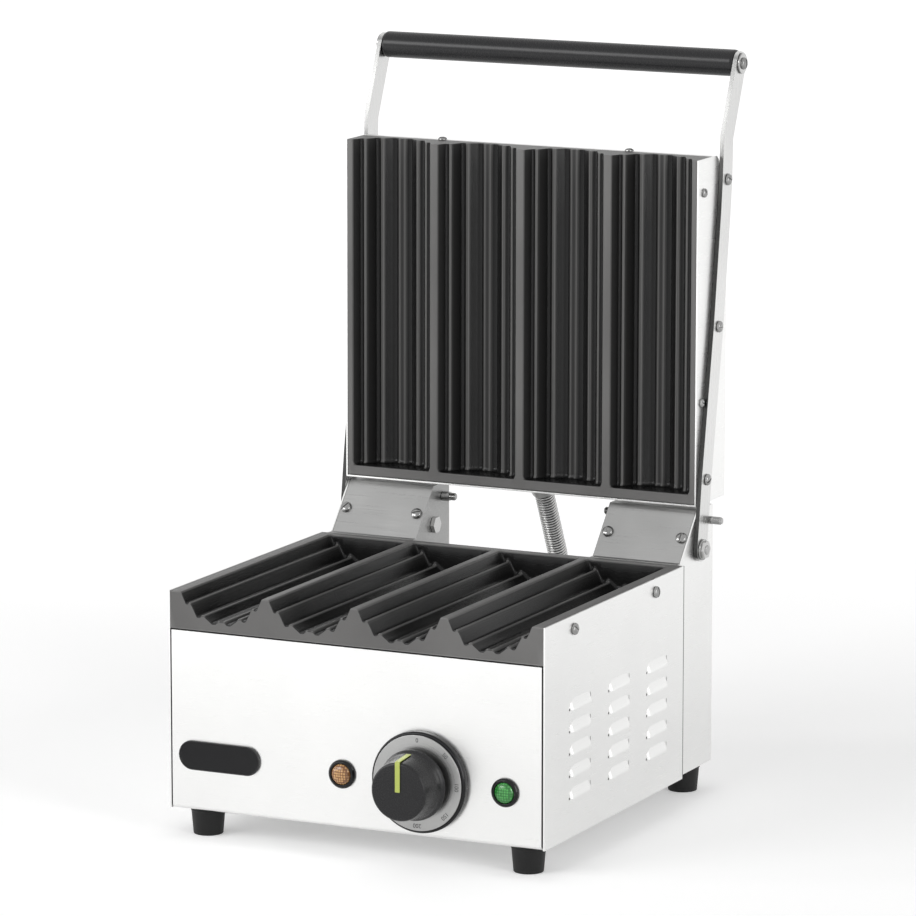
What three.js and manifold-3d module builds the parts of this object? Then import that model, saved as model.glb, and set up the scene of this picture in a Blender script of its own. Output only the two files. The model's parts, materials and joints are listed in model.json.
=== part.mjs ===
// Countertop contact grill, in millimetres, +Z up, standing on its feet.
// X runs left to right, Y from the front panel to the back, and the cooking plates run front to back.
// The lid is drawn closed, about its pivot, and then opened. The finished model is centred on its footprint.
import * as THREE from "three";
import { mergeVertices } from "three/addons/utils/BufferGeometryUtils.js";
import Module from "manifold-3d";

const wasm = await Module();
wasm.setup();

// Driving dimensions of the casing
const bodyWidth = 300;
const sideDepth = 243;
const housingInset = 5;
const housingDepth = 64;
const footHeight = 21;
const panelHeight = 132.3;
const panelSideGap = 1.3;
const panelBend = 3;
const plateSeam = 1.2;
const sheet = 1.2;
const flange = 12;
const fitGap = 0.3;
const overrun = 2;
const mergeTolerance = 1e-4;

// Cooking plates
const castingHeight = 27.5;
const channelCount = 4;
const channelMargin = 7.34;
const channelDepth = 21.2;
const upperPlateLength = 258.3;
const endWall = 7;
const plateScrewHold = 10;
const closedPlateGap = 0.6;

// Hinge towers, pivots and stops
const towerWidth = 71.7;
const towerHeight = 35;
const towerTopDepth = 28;
const towerFootGap = 5.5;
const deckDrop = 22;
const pivotRise = 5.5;
const pivotBack = 36.5;
const openAngle = 90.2;
const pivotBoltRadius = 4;
const boltHeadRadius = 6.6;
const boltHeadLength = 3;
const washerRadius = 7.8;
const stopRodRadius = 3;
const stopRodRise = 19.5;
const stopRodOverhang = 9.2;
const stopRodInnerOverhang = 13.3;
const stopNutRadius = 3.9;
const stopNutLength = 6;

// Lid cover, arms and handle
const hingeReach = 32.4;
const lidDepth = 54;
const lidEndDepth = 34;
const coverChamfer = 18;
const insulationInset = 6;
const armThickness = 3.2;
const armWidth = 18;
const handleReach = 355.7;
const handleRise = 64.8;
const handleRadius = 10;
const handleRodRadius = 4;
const handleScrewReach = 18;

// Louvres in the side panels
const louvreColumns = 3;
const louvreRows = 5;
const louvreLength = 34;
const louvreHeight = 7.5;
const louvreProud = 2.8;
const louvrePitchAlong = 67.2;
const louvrePitchUp = 16.2;
const louvreFirstBack = 42.7;
const louvreFirstUp = 28.4;

// Control panel: shares are of the body's width, from its middle
const dialShare = 0.178;
const dialUp = 40.8;
const dialRadius = 37;
const dialThickness = 5.6;
const dialFaceRadius = 34.8;
const dialFaceThickness = 1;
const knobHubRadius = 12;
const knobHubLength = 6;
const knobBaseRadius = 25.8;
const knobWaistRadius = 22.9;
const knobFrontRadius = 21.3;
const knobEdge = 1;
const knobRim = 2;
const knobFlare = 4.5;
const knobLength = 30.5;
const pointerWidth = 3;
const pointerProud = 0.6;
const amberShare = -0.0317;
const greenShare = 0.3983;
const lampUp = 39.5;
const bezelRadius = 10.5;
const bezelProud = 2.6;
const lensRadius = 7.6;
const lensProud = 2.4;
const lampBarrelRadius = 6;
const lampBarrelLength = 26;
const badgeShare = -0.3623;
const badgeUp = 41;
const badgeWidth = 66;
const badgeHeight = 21.7;
const badgeThickness = 1.6;

// Feet
const footTopRadius = 12.5;
const footBottomRadius = 10.9;
const footSideInset = 21.2;
const footFrontInset = 19;
const footRearInset = 16;

// Heating, control and wiring
const elementRadius = 3.25;
const elementReach = 36;
const elementSteps = 64;
const roundSides = 24;
const smallSides = 12;
const tubeSides = 8;
const thermostatRadius = 21;
const thermostatLength = 26;
const shaftRadius = 3;
const bulbRadius = 3;
const bulbLength = 90;
const capillaryRadius = 1;
const terminalWidth = 48;
const terminalDepth = 22;
const terminalHeight = 18;
const glandRadius = 9;
const glandBoreRadius = 4;
const glandFlangeRadius = 12.5;
const glandFlangeLength = 3;
const glandLength = 16;
const glandX = -95;
const glandUp = 35;

// Wire guard: a close coil from the lid's hinge end down to the back, round the lid element's wires
const guardRise = 36.4;
const guardLean = 26.2;
const guardBend = 30;
const coilRadius = 7.65;
const coilWireRadius = 0.75;
const coilPitch = 2.5;
const coilStepsPerCurl = 8;
const coilWireSides = 5;
const socketRadius = 9.2;
const socketLength = 8;
const socketFootRadius = 11.5;
const socketFoot = 2;
const wireBundleRadius = 3.2;
const wireBundleSteps = 24;
const wireTail = 3;
const wireHoleRadius = 5;

// Screws
const screwShankRadius = 2;
const screwHeadRadius = 4.4;
const screwHeadHeight = 2.6;
const slotWidth = 1.2;
const slotDepth = 1.1;
const towerScrewInset = 6;
const towerScrewShare = 0.46;

// Half of a cooking channel, from the middle of a ridge to the middle of the channel:
// shares of half the pitch across, and of the channel depth down.
const channelShares = [
  [0.073, 0],
  [0.095, 0.047],
  [0.191, 0.358],
  [0.292, 0.387],
  [0.325, 0.434],
  [0.437, 0.764],
  [0.499, 0.792],
  [0.603, 0.755],
  [0.751, 0.925],
  [0.847, 1],
  [1, 0.934],
];

// The arm's middle line from the pivot to the handle: shares of the handle's reach and of its rise
const armShares = [
  [0, 0],
  [0.145, 0.11],
  [0.46, 0.415],
  [0.6975, 0.596],
  [0.7643, 0.635],
  [0.8523, 0.654],
  [1, 1],
];
const armScrewStations = [1, 2, 4];

// Places worked out from the driving dimensions
const halfBody = bodyWidth / 2;
const channelPitch = (bodyWidth - 2 * channelMargin) / channelCount;
const halfHousing = halfBody - housingInset;
const panelTop = footHeight + panelHeight;
const plateBottom = panelTop + plateSeam;
const plateTop = plateBottom + castingHeight;
const housingFront = sideDepth + fitGap;
const rearFace = sideDepth + housingDepth;
const rearInner = rearFace - sheet - fitGap;
const housingInner = halfHousing - sheet - fitGap;
const towerTop = plateTop + towerHeight;
const towerInner = halfHousing - towerWidth;
const towerFoot = sideDepth + towerFootGap;
const towerTopFront = rearFace - towerTopDepth;
const towerLean = Math.atan2(towerTopFront - towerFoot, towerHeight);
const deckTop = plateTop - deckDrop;
const pivotY = sideDepth + pivotBack;
const pivotZ = plateTop + pivotRise;
const faceRise = closedPlateGap - pivotRise;
const lidHinge = -hingeReach;
const lidFree = lidHinge - upperPlateLength;
const plateBack = faceRise + castingHeight;
const coverBack = faceRise + lidDepth;
const coverEndBack = faceRise + lidEndDepth;
const coverBend = lidFree + coverChamfer;
const halfLid = halfHousing;
const lidInner = halfLid - sheet - fitGap;
const armInner = halfLid + fitGap;
const armOuter = armInner + armThickness;
const dialX = dialShare * bodyWidth;
const lampAmberX = amberShare * bodyWidth;
const lampGreenX = greenShare * bodyWidth;
const badgeX = badgeShare * bodyWidth;
const dialZ = footHeight + dialUp;
const lampZ = footHeight + lampUp;
const dialFront = -2 * fitGap - dialThickness - dialFaceThickness;
const knobSeat = dialFront - fitGap;
const thermostatFront = sheet + fitGap;
const thermostatFloor = thermostatFront + thermostatLength - 2 * sheet;
const elementZ = plateBottom - fitGap - elementRadius;
const shieldTop = elementZ - elementRadius - fitGap;
const capillaryX = dialX + thermostatRadius / 2;
const capillaryY = flange + fitGap + 3 * bulbRadius;
const screwHoleRadius = screwShankRadius + fitGap;
const boltHoleRadius = pivotBoltRadius + fitGap;
const rodHoleRadius = stopRodRadius + fitGap;
const shaftHoleRadius = shaftRadius + fitGap;
const wireBoreRadius = wireBundleRadius + fitGap;

// Each finish: colour, roughness, metalness
const finishes = {
  steel: [0xd9d9d6, 0.34, 1],
  brushedSteel: [0xa6a6a3, 0.4, 1],
  darkSteel: [0x8c8c8a, 0.42, 1],
  casting: [0x3b3a39, 0.6, 0.1],
  blackPlastic: [0x17171a, 0.45, 0],
  silver: [0xb9b9b6, 0.3, 0.9],
  lime: [0xb7c81e, 0.5, 0],
  amber: [0xc98a2a, 0.25, 0],
  green: [0x1f8f4a, 0.25, 0],
  rubber: [0x1b1b1c, 0.8, 0],
  ceramic: [0xe6e0d2, 0.7, 0],
  wool: [0xcfc7ae, 0.95, 0],
  copper: [0xb5713f, 0.4, 1],
  element: [0x5f5a55, 0.5, 0.9],
};

// Turns a closed geometry into a solid that can be joined and cut.
function solid(geometry) {
  const bare = geometry.index ? geometry.toNonIndexed() : geometry.clone();
  bare.deleteAttribute("normal");
  bare.deleteAttribute("uv");
  const merged = mergeVertices(bare, mergeTolerance);
  const mesh = new wasm.Mesh({
    numProp: 3,
    vertProperties: new Float32Array(merged.attributes.position.array),
    triVerts: new Uint32Array(merged.index.array),
  });
  return new wasm.Manifold(mesh);
}

function geometryOf(made) {
  const mesh = made.getMesh();
  const geometry = new THREE.BufferGeometry();
  geometry.setAttribute("position", new THREE.BufferAttribute(mesh.vertProperties, 3));
  geometry.setIndex(new THREE.BufferAttribute(mesh.triVerts, 1));
  geometry.computeVertexNormals();
  return geometry;
}

function join(...pieces) {
  return pieces.reduce((whole, piece) => whole.add(piece));
}

function cut(whole, ...pieces) {
  return pieces.reduce((rest, piece) => rest.subtract(piece), whole);
}

function moved(made, matrix) {
  const geometry = geometryOf(made);
  geometry.applyMatrix4(matrix);
  return solid(geometry);
}

function box(x0, x1, y0, y1, z0, z1) {
  const geometry = new THREE.BoxGeometry(x1 - x0, y1 - y0, z1 - z0);
  geometry.translate((x0 + x1) / 2, (y0 + y1) / 2, (z0 + z1) / 2);
  return solid(geometry);
}

function extruded(outline, length) {
  const corners = Array.isArray(outline) ? outline.map(([a, b]) => new THREE.Vector2(a, b)) : null;
  const shape = corners ? new THREE.Shape(corners) : outline;
  return new THREE.ExtrudeGeometry(shape, { depth: length, bevelEnabled: false, curveSegments: tubeSides });
}

// A prism along X from an outline of (y, z) points
function prismX(outline, x0, x1) {
  const geometry = extruded(outline, x1 - x0);
  geometry.applyMatrix4(new THREE.Matrix4().set(0, 0, 1, x0, 1, 0, 0, 0, 0, 1, 0, 0, 0, 0, 0, 1));
  return solid(geometry);
}

// A prism along Y from an outline of (x, z) points
function prismY(outline, y0, y1) {
  const geometry = extruded(outline, y1 - y0);
  geometry.rotateX(Math.PI / 2);
  geometry.translate(0, y1, 0);
  return solid(geometry);
}

// A prism along Z from an outline of (x, y) points
function prismZ(outline, z0, z1) {
  const geometry = extruded(outline, z1 - z0);
  geometry.translate(0, 0, z0);
  return solid(geometry);
}

// A piece turned about an axis through a centre: its profile gives (radius, place along the axis).
function turned(profile, axis, centre, sides = roundSides) {
  const points = profile.map(([radius, along]) => new THREE.Vector2(radius, along));
  if (THREE.ShapeUtils.area(points) < 0) points.reverse();
  const geometry = new THREE.LatheGeometry(points, sides);
  if (axis === "x") geometry.rotateZ(-Math.PI / 2);
  if (axis === "z") geometry.rotateX(Math.PI / 2);
  geometry.translate(...centre);
  return solid(geometry);
}

function bar(radius, axis, from, to, centre, sides = roundSides) {
  return turned([[0, from], [radius, from], [radius, to], [0, to]], axis, centre, sides);
}

// A tube of round section along a curve
function tube(curve, radius, steps) {
  const corners = [];
  for (let i = 0; i < tubeSides; i++) {
    const turn = (2 * Math.PI * i) / tubeSides;
    corners.push(new THREE.Vector2(radius * Math.cos(turn), radius * Math.sin(turn)));
  }
  return new THREE.ExtrudeGeometry(new THREE.Shape(corners), { steps, extrudePath: curve, bevelEnabled: false });
}

const model = new THREE.Group();
const base = new THREE.Group();
const lid = new THREE.Group();
lid.position.set(0, pivotY, pivotZ);
lid.rotation.x = -THREE.MathUtils.degToRad(openAngle);
lid.updateMatrix();
model.add(base, lid);

function place(name, made, finish, group = base) {
  const [color, roughness, metalness] = finishes[finish];
  const geometry = made instanceof THREE.BufferGeometry ? made : geometryOf(made);
  const mesh = new THREE.Mesh(geometry, new THREE.MeshStandardMaterial({ color, roughness, metalness }));
  mesh.name = name;
  group.add(mesh);
}

// Makes a piece for each side: its word, and -1 on the left or 1 on the right
function bothSides(make) {
  make("left", -1);
  make("right", 1);
}

// The two X limits of a piece on one side, lowest first
function across(side, inner, outer) {
  return side > 0 ? [inner, outer] : [-outer, -inner];
}

// A profile along X, turned round for the left side
function mirrored(side, profile) {
  return profile.map(([radius, along]) => [radius, side * along]);
}

function basePan() {
  const front = flange + fitGap;
  const frontHalf = halfBody - sheet - fitGap;
  const step = sideDepth - sheet - fitGap;
  const outline = [
    [-frontHalf, front],
    [frontHalf, front],
    [frontHalf, step],
    [housingInner, step],
    [housingInner, rearInner],
    [-housingInner, rearInner],
    [-housingInner, step],
    [-frontHalf, step],
  ];
  place("base_pan", prismZ(outline, footHeight, footHeight + sheet), "darkSteel");
}

// A channel section: a face with a rounded lower bend, and returned edges at the bottom and the top
function panelSection() {
  const bendZ = footHeight + panelBend;
  const shape = new THREE.Shape();
  shape.moveTo(flange, footHeight);
  shape.absarc(panelBend, bendZ, panelBend, -Math.PI / 2, -Math.PI, true);
  shape.lineTo(0, panelTop);
  shape.lineTo(flange, panelTop);
  shape.lineTo(flange, panelTop - sheet);
  shape.lineTo(sheet, panelTop - sheet);
  shape.absarc(panelBend, bendZ, panelBend - sheet, -Math.PI, -Math.PI / 2, false);
  shape.lineTo(flange, footHeight + sheet);
  return shape;
}

function frontPanel() {
  const half = halfBody - sheet - panelSideGap;
  const hole = (x, z, radius) => bar(radius, "y", -overrun, sheet + overrun, [x, 0, z]);
  const made = cut(
    prismX(panelSection(), -half, half),
    hole(dialX, dialZ, shaftHoleRadius),
    hole(lampAmberX, lampZ, lampBarrelRadius + fitGap),
    hole(lampGreenX, lampZ, lampBarrelRadius + fitGap),
  );
  place("front_panel", made, "steel");
}

// One pressed louvre, open along its lower edge: the metal to add and the hollow to cut
function louvre(side, y, low) {
  const high = low + louvreHeight;
  const middle = halfBody - sheet / 2;
  const behind = halfBody - sheet - overrun;
  const hood = [[middle, low], [halfBody + louvreProud, low], [middle, high]];
  const hollow = [
    [behind, low - fitGap],
    [halfBody + louvreProud - sheet, low - fitGap],
    [middle, high - sheet],
    [behind, high - sheet],
  ];
  const facing = (outline) => outline.map(([x, z]) => [side * x, z]);
  return [
    prismY(facing(hood), y, y + louvreLength),
    prismY(facing(hollow), y + sheet, y + louvreLength - sheet),
  ];
}

function sidePanels() {
  const ledgeTop = plateBottom - fitGap;
  bothSides((word, side) => {
    const skinX = across(side, halfBody - sheet, halfBody);
    const ledgeX = across(side, halfBody - flange, halfBody);
    const backX = across(side, halfHousing + fitGap, halfBody);
    let made = join(
      box(...skinX, 0, sideDepth, footHeight, plateTop),
      box(...ledgeX, flange + fitGap, sideDepth, ledgeTop - sheet, ledgeTop),
      box(...backX, sideDepth - sheet, sideDepth, footHeight, ledgeTop),
    );
    for (let column = 0; column < louvreColumns; column++) {
      for (let row = 0; row < louvreRows; row++) {
        const y = louvreFirstBack + column * louvrePitchAlong;
        const [hood, hollow] = louvre(side, y, footHeight + louvreFirstUp + row * louvrePitchUp);
        made = cut(made.add(hood), hollow);
      }
    }
    place(`side_panel_${word}`, made, "steel");
  });
}

// The stop rod stands just behind the open arm's rear edge.
function stopRodBack() {
  const [reachShare, riseShare] = armShares[1];
  const lean = Math.atan2(riseShare * handleRise, reachShare * handleReach);
  return stopRodRise * Math.tan(lean) + (armWidth / 2 + stopRodRadius + fitGap) / Math.cos(lean);
}

const stopRodY = pivotY + stopRodBack();
const stopRodZ = pivotZ + stopRodRise;

// The wire guard's middle line: straight out of the lid at a lean, round a bend and squarely into the back.
// Its distances are counted from the lid.
function guardLine() {
  const lean = THREE.MathUtils.degToRad(guardLean);
  const mouth = new THREE.Vector3(0, lidHinge, guardRise).applyMatrix4(lid.matrix);
  const along = new THREE.Vector3(0, Math.cos(lean), Math.sin(lean)).transformDirection(lid.matrix);
  const fall = Math.atan2(along.z, along.y);
  const turn = Math.PI + fall;
  const lastRun = socketLength + 2 * (coilWireRadius + fitGap);
  const straight = (rearFace + lastRun - guardBend * along.z - mouth.y) / along.y;
  const bend = mouth.clone().addScaledVector(along, straight);
  const centre = new THREE.Vector3(0, bend.y + guardBend * along.z, bend.z - guardBend * along.y);
  const at = (distance) => {
    if (distance <= straight) return { point: mouth.clone().addScaledVector(along, distance), along };
    const rounded = Math.min((distance - straight) / guardBend, turn);
    const past = Math.max(distance - straight - guardBend * turn, 0);
    const angle = fall - rounded;
    const heading = new THREE.Vector3(0, Math.cos(angle), Math.sin(angle));
    const point = new THREE.Vector3(0, -heading.z, heading.y).multiplyScalar(guardBend).add(centre);
    return { point: point.addScaledVector(heading, past), along: heading };
  };
  return { at, length: straight + guardBend * turn + lastRun, backZ: centre.z - guardBend };
}

const guard = guardLine();

// Rear casing: two sides that run up to the towers' tops, and a back that is low between the towers
function rearHousing() {
  const side = [
    [housingFront, footHeight],
    [rearFace, footHeight],
    [rearFace, towerTop],
    [towerTopFront, towerTop],
    [towerFoot, plateTop],
    [housingFront, plateTop],
  ];
  const back = [
    [-halfHousing, footHeight],
    [halfHousing, footHeight],
    [halfHousing, towerTop],
    [towerInner, towerTop],
    [towerInner, deckTop],
    [-towerInner, deckTop],
    [-towerInner, towerTop],
    [-halfHousing, towerTop],
  ];
  const through = halfHousing + overrun;
  const before = rearFace - sheet - overrun;
  const made = cut(
    join(
      prismY(back, rearFace - sheet, rearFace),
      prismX(side, halfHousing - sheet, halfHousing),
      prismX(side, -halfHousing, sheet - halfHousing),
    ),
    bar(boltHoleRadius, "x", -through, through, [0, pivotY, pivotZ]),
    bar(rodHoleRadius, "x", -through, through, [0, stopRodY, stopRodZ]),
    bar(glandRadius + fitGap, "y", before, rearFace + overrun, [glandX, 0, footHeight + glandUp]),
    bar(wireHoleRadius, "y", before, rearFace + overrun, [0, 0, guard.backZ]),
  );
  place("rear_housing", made, "steel");
}

function rearDeck() {
  const low = deckTop - flange;
  const under = deckTop - sheet;
  const section = [
    [housingFront, low],
    [housingFront + sheet, low],
    [housingFront + sheet, under],
    [rearInner - sheet, under],
    [rearInner - sheet, low],
    [rearInner, low],
    [rearInner, deckTop],
    [housingFront, deckTop],
  ];
  place("rear_deck", prismX(section, -housingInner, housingInner), "darkSteel");
}

// Moves a piece drawn along Y onto a tower's slanted front, at X
function onTowerFront(x, made) {
  const y = towerFoot + towerScrewShare * (towerTopFront - towerFoot);
  const z = plateTop + towerScrewShare * towerHeight;
  const matrix = new THREE.Matrix4().makeRotationX(-towerLean);
  return moved(made, matrix.setPosition(x, y, z));
}

function towerScrewPlaces(side) {
  return [side * (towerInner + towerScrewInset), side * (halfHousing - towerScrewInset)];
}

// Tower cover: slanted front, top and inner wall, inside the rear casing
function towerCovers() {
  const low = deckTop + fitGap;
  const inY = sheet * Math.cos(towerLean);
  const inZ = sheet * Math.sin(towerLean);
  const front = [
    [towerFoot, plateTop],
    [towerTopFront, towerTop],
    [towerTopFront + inY, towerTop - inZ],
    [towerFoot + inY, plateTop - inZ],
  ];
  const wall = [
    [housingFront, low],
    [rearInner, low],
    [rearInner, towerTop],
    [towerTopFront, towerTop],
    [towerFoot, plateTop],
    [housingFront, plateTop],
  ];
  bothSides((word, side) => {
    const [x0, x1] = across(side, towerInner, housingInner);
    const [hole0, hole1] = across(side, towerInner - overrun, towerInner + sheet + overrun);
    const screwHole = bar(screwHoleRadius, "y", -overrun, sheet + overrun, [0, 0, 0], smallSides);
    const made = cut(
      join(
        prismX(wall, ...across(side, towerInner, towerInner + sheet)),
        prismX(front, x0, x1),
        box(x0, x1, towerTopFront, rearInner, towerTop - sheet, towerTop),
        box(x0, x1, housingFront, towerFoot + sheet, plateTop - sheet, plateTop),
        box(x0, x1, housingFront, housingFront + sheet, low, plateTop),
      ),
      bar(boltHoleRadius, "x", hole0, hole1, [0, pivotY, pivotZ]),
      bar(rodHoleRadius, "x", hole0, hole1, [0, stopRodY, stopRodZ]),
      ...towerScrewPlaces(side).map((x) => onTowerFront(x, screwHole)),
    );
    place(`tower_cover_${word}`, made, "brushedSteel");
  });
}

// A slotted pan screw along Y, with or without a washer: its head before y = 0 and its shank after it
function slottedScrew(shank, washer = 0) {
  const seat = -fitGap;
  const under = washer ? seat - sheet : seat;
  const head = under - screwHeadHeight;
  const rim = washer ? [[washer, under], [washer, seat]] : [];
  const profile = [
    [0, head],
    [screwHeadRadius * 0.55, head],
    [screwHeadRadius * 0.88, head + screwHeadHeight * 0.3],
    [screwHeadRadius, under],
    ...rim,
    [screwShankRadius, seat],
    [screwShankRadius, shank],
    [0, shank],
  ];
  const reach = screwHeadRadius + overrun;
  const slot = box(-reach, reach, head - overrun, head + slotDepth, -slotWidth / 2, slotWidth / 2);
  return cut(turned(profile, "y", [0, 0, 0], smallSides), slot);
}

function towerScrews() {
  bothSides((word, side) => {
    towerScrewPlaces(side).forEach((x, i) => {
      place(`tower_screw_${word}_${i + 1}`, onTowerFront(x, slottedScrew(flange / 2)), "steel");
    });
  });
}

// The cross-section of a cooking plate, between its flat back and its channelled face
function plateSection(halfWidth, backZ, faceZ) {
  const half = channelPitch / 2;
  const down = Math.sign(backZ - faceZ) * channelDepth;
  const inward = channelShares.slice(0, -1).reverse();
  const points = [[-halfWidth, backZ], [halfWidth, backZ], [halfWidth, faceZ]];
  for (let channel = channelCount; channel > 0; channel--) {
    const right = (channel - channelCount / 2) * channelPitch;
    const left = right - channelPitch;
    for (const [over, deep] of channelShares) points.push([right - over * half, faceZ + deep * down]);
    for (const [over, deep] of inward) points.push([left + over * half, faceZ + deep * down]);
  }
  points.push([-halfWidth, faceZ]);
  return points;
}

function lowerPlate() {
  const half = halfBody - sheet - fitGap;
  const body = prismY(plateSection(half, plateBottom, plateTop), 0, sideDepth - endWall + overrun);
  const end = box(-half, half, sideDepth - endWall, sideDepth, plateBottom, plateTop);
  place("lower_plate", join(body, end), "casting");
}

// A heating element: four runs under the channels, joined by half turns, both ends towards the hinge
function elementCurve(front, back, z) {
  const radius = channelPitch / 2;
  const near = front + radius;
  const far = back - radius;
  const points = [];
  const straight = (x, from, to) => {
    for (const share of [0, 0.5, 1]) points.push(new THREE.Vector3(x, from + (to - from) * share, z));
  };
  const halfTurn = (x, y, sign) => {
    for (let i = 1; i < 6; i++) {
      const angle = (Math.PI * i) / 6;
      points.push(new THREE.Vector3(x - radius * Math.cos(angle), y + sign * radius * Math.sin(angle), z));
    }
  };
  const runs = [-1.5, -0.5, 0.5, 1.5].map((share) => share * channelPitch);
  straight(runs[0], back, near);
  halfTurn((runs[0] + runs[1]) / 2, near, -1);
  straight(runs[1], near, far);
  halfTurn((runs[1] + runs[2]) / 2, far, 1);
  straight(runs[2], far, near);
  halfTurn((runs[2] + runs[3]) / 2, near, -1);
  straight(runs[3], near, back);
  return new THREE.CatmullRomCurve3(points, false, "centripetal");
}

function lowerHeating() {
  const curve = elementCurve(elementReach, sideDepth - elementReach, elementZ);
  place("lower_element", tube(curve, elementRadius, elementSteps), "element");
  const half = halfBody - sheet - fitGap;
  const low = shieldTop - sheet;
  const shield = cut(
    box(-half, half, flange + fitGap, sideDepth - sheet - fitGap, low, shieldTop),
    bar(3 * capillaryRadius, "z", low - overrun, shieldTop + overrun, [capillaryX, capillaryY, 0], smallSides),
  );
  place("heat_shield", shield, "darkSteel");
}

// Thermostat body behind the panel, and its capillary up to the sensing bulb under the plate
function thermostat() {
  const body = bar(thermostatRadius, "y", thermostatFront, thermostatFront + thermostatLength, [dialX, 0, dialZ]);
  const hollow = bar(shaftHoleRadius, "y", thermostatFront - overrun, thermostatFloor, [dialX, 0, dialZ]);
  place("thermostat_body", cut(body, hollow), "ceramic");
  const bulbZ = plateBottom - fitGap - bulbRadius;
  const bodyTop = dialZ + Math.sqrt(thermostatRadius ** 2 - (capillaryX - dialX) ** 2);
  const end = capillaryX + bulbRadius;
  const sensor = join(
    bar(bulbRadius, "x", end - bulbLength, end, [0, capillaryY, bulbZ], smallSides),
    bar(capillaryRadius, "z", bodyTop + fitGap, bulbZ, [capillaryX, capillaryY, 0], tubeSides),
  );
  place("thermostat_bulb", sensor, "copper");
}

function wiring() {
  const x = glandX + terminalWidth;
  const y = rearInner - 2 * terminalDepth;
  const z = footHeight + sheet + fitGap;
  place("terminal_block", box(x, x + terminalWidth, y, y + terminalDepth, z, z + terminalHeight), "ceramic");
  const inside = rearFace - sheet - glandFlangeLength;
  const outside = rearFace + fitGap;
  const profile = [
    [glandBoreRadius, inside],
    [glandRadius, inside],
    [glandRadius, outside],
    [glandFlangeRadius, outside],
    [glandFlangeRadius, outside + glandFlangeLength],
    [glandRadius, outside + glandFlangeLength],
    [glandRadius - sheet, outside + glandLength],
    [glandBoreRadius, outside + glandLength],
    [glandBoreRadius, inside],
  ];
  place("cable_gland", turned(profile, "y", [glandX, 0, footHeight + glandUp]), "blackPlastic");
}

function dial() {
  const centre = [dialX, 0, dialZ];
  const ringFront = -fitGap - dialThickness;
  const ring = [
    [shaftHoleRadius, -fitGap],
    [shaftHoleRadius, ringFront],
    [dialRadius - knobEdge, ringFront],
    [dialRadius, ringFront + knobEdge],
    [dialRadius, -fitGap],
    [shaftHoleRadius, -fitGap],
  ];
  place("dial_ring", turned(ring, "y", centre, 2 * roundSides), "blackPlastic");
  const faceBack = ringFront - fitGap;
  const face = [
    [shaftHoleRadius, faceBack],
    [shaftHoleRadius, dialFront],
    [dialFaceRadius, dialFront],
    [dialFaceRadius, faceBack],
    [shaftHoleRadius, faceBack],
  ];
  place("dial_face", turned(face, "y", centre, 2 * roundSides), "silver");
}

// The knob, which stands off the dial on its hub, a bright pointer over its front and side, and its shaft
function knob() {
  const centre = [dialX, 0, dialZ];
  const back = knobSeat - knobHubLength;
  const rim = back - knobRim;
  const waist = rim - knobFlare;
  const front = knobSeat - knobLength;
  const socketEnd = knobSeat - knobLength / 2;
  const profile = [
    [0, front],
    [knobFrontRadius - knobEdge, front],
    [knobFrontRadius, front + knobEdge],
    [knobWaistRadius, waist],
    [knobBaseRadius, rim],
    [knobBaseRadius, back],
    [knobHubRadius, back],
    [knobHubRadius, knobSeat],
    [0, knobSeat],
  ];
  const body = turned(profile, "y", centre, 1.5 * roundSides);
  const socketHole = bar(shaftHoleRadius, "y", socketEnd, knobSeat + overrun, centre);
  place("thermostat_knob", cut(body, socketHole), "blackPlastic");
  const shaft = bar(shaftRadius, "y", socketEnd + fitGap, thermostatFloor - fitGap, centre, smallSides);
  place("thermostat_shaft", shaft, "steel");
  const inner = [
    [front - fitGap, 0],
    [front - fitGap, knobFrontRadius],
    [front + knobEdge, knobFrontRadius + 2 * fitGap],
    [waist, knobWaistRadius + 2 * fitGap],
  ];
  const [first, second, third, last] = inner;
  const outline = [
    ...inner,
    [last[0] - pointerProud / 2, last[1] + pointerProud],
    [third[0] - pointerProud / 2, third[1] + pointerProud],
    [second[0] - pointerProud, second[1] + pointerProud / 2],
    [first[0] - pointerProud, first[1]],
  ].map(([y, up]) => [y, dialZ + up]);
  place("knob_pointer", prismX(outline, dialX - pointerWidth / 2, dialX + pointerWidth / 2), "lime");
}

function lamps() {
  const front = -fitGap - bezelProud;
  const floor = -fitGap - sheet / 2;
  const bezel = [
    [0, floor],
    [lensRadius + fitGap, floor],
    [lensRadius + fitGap, front],
    [bezelRadius - sheet, front],
    [bezelRadius, front + sheet],
    [bezelRadius, -fitGap],
    [lampBarrelRadius, -fitGap],
    [lampBarrelRadius, lampBarrelLength],
    [0, lampBarrelLength],
  ];
  const lens = [
    [0, front - lensProud],
    [lensRadius * 0.5, front - lensProud * 0.8],
    [lensRadius * 0.87, front - lensProud * 0.35],
    [lensRadius, front + sheet / 2],
    [lensRadius, floor - fitGap],
    [0, floor - fitGap],
  ];
  [["amber", lampAmberX], ["green", lampGreenX]].forEach(([word, x]) => {
    place(`lamp_bezel_${word}`, turned(bezel, "y", [x, 0, lampZ]), "blackPlastic");
    place(`lamp_lens_${word}`, turned(lens, "y", [x, 0, lampZ]), word);
  });
}

function badge() {
  const radius = badgeHeight / 2;
  const half = badgeWidth / 2 - radius;
  const shape = new THREE.Shape();
  shape.moveTo(-half, -radius);
  shape.absarc(half, 0, radius, -Math.PI / 2, Math.PI / 2, false);
  shape.absarc(-half, 0, radius, Math.PI / 2, Math.PI * 1.5, false);
  const front = -fitGap - badgeThickness;
  const raised = new THREE.Matrix4().makeTranslation(badgeX, 0, footHeight + badgeUp);
  place("badge_plate", moved(prismY(shape, front, -fitGap), raised), "blackPlastic");
}

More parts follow.
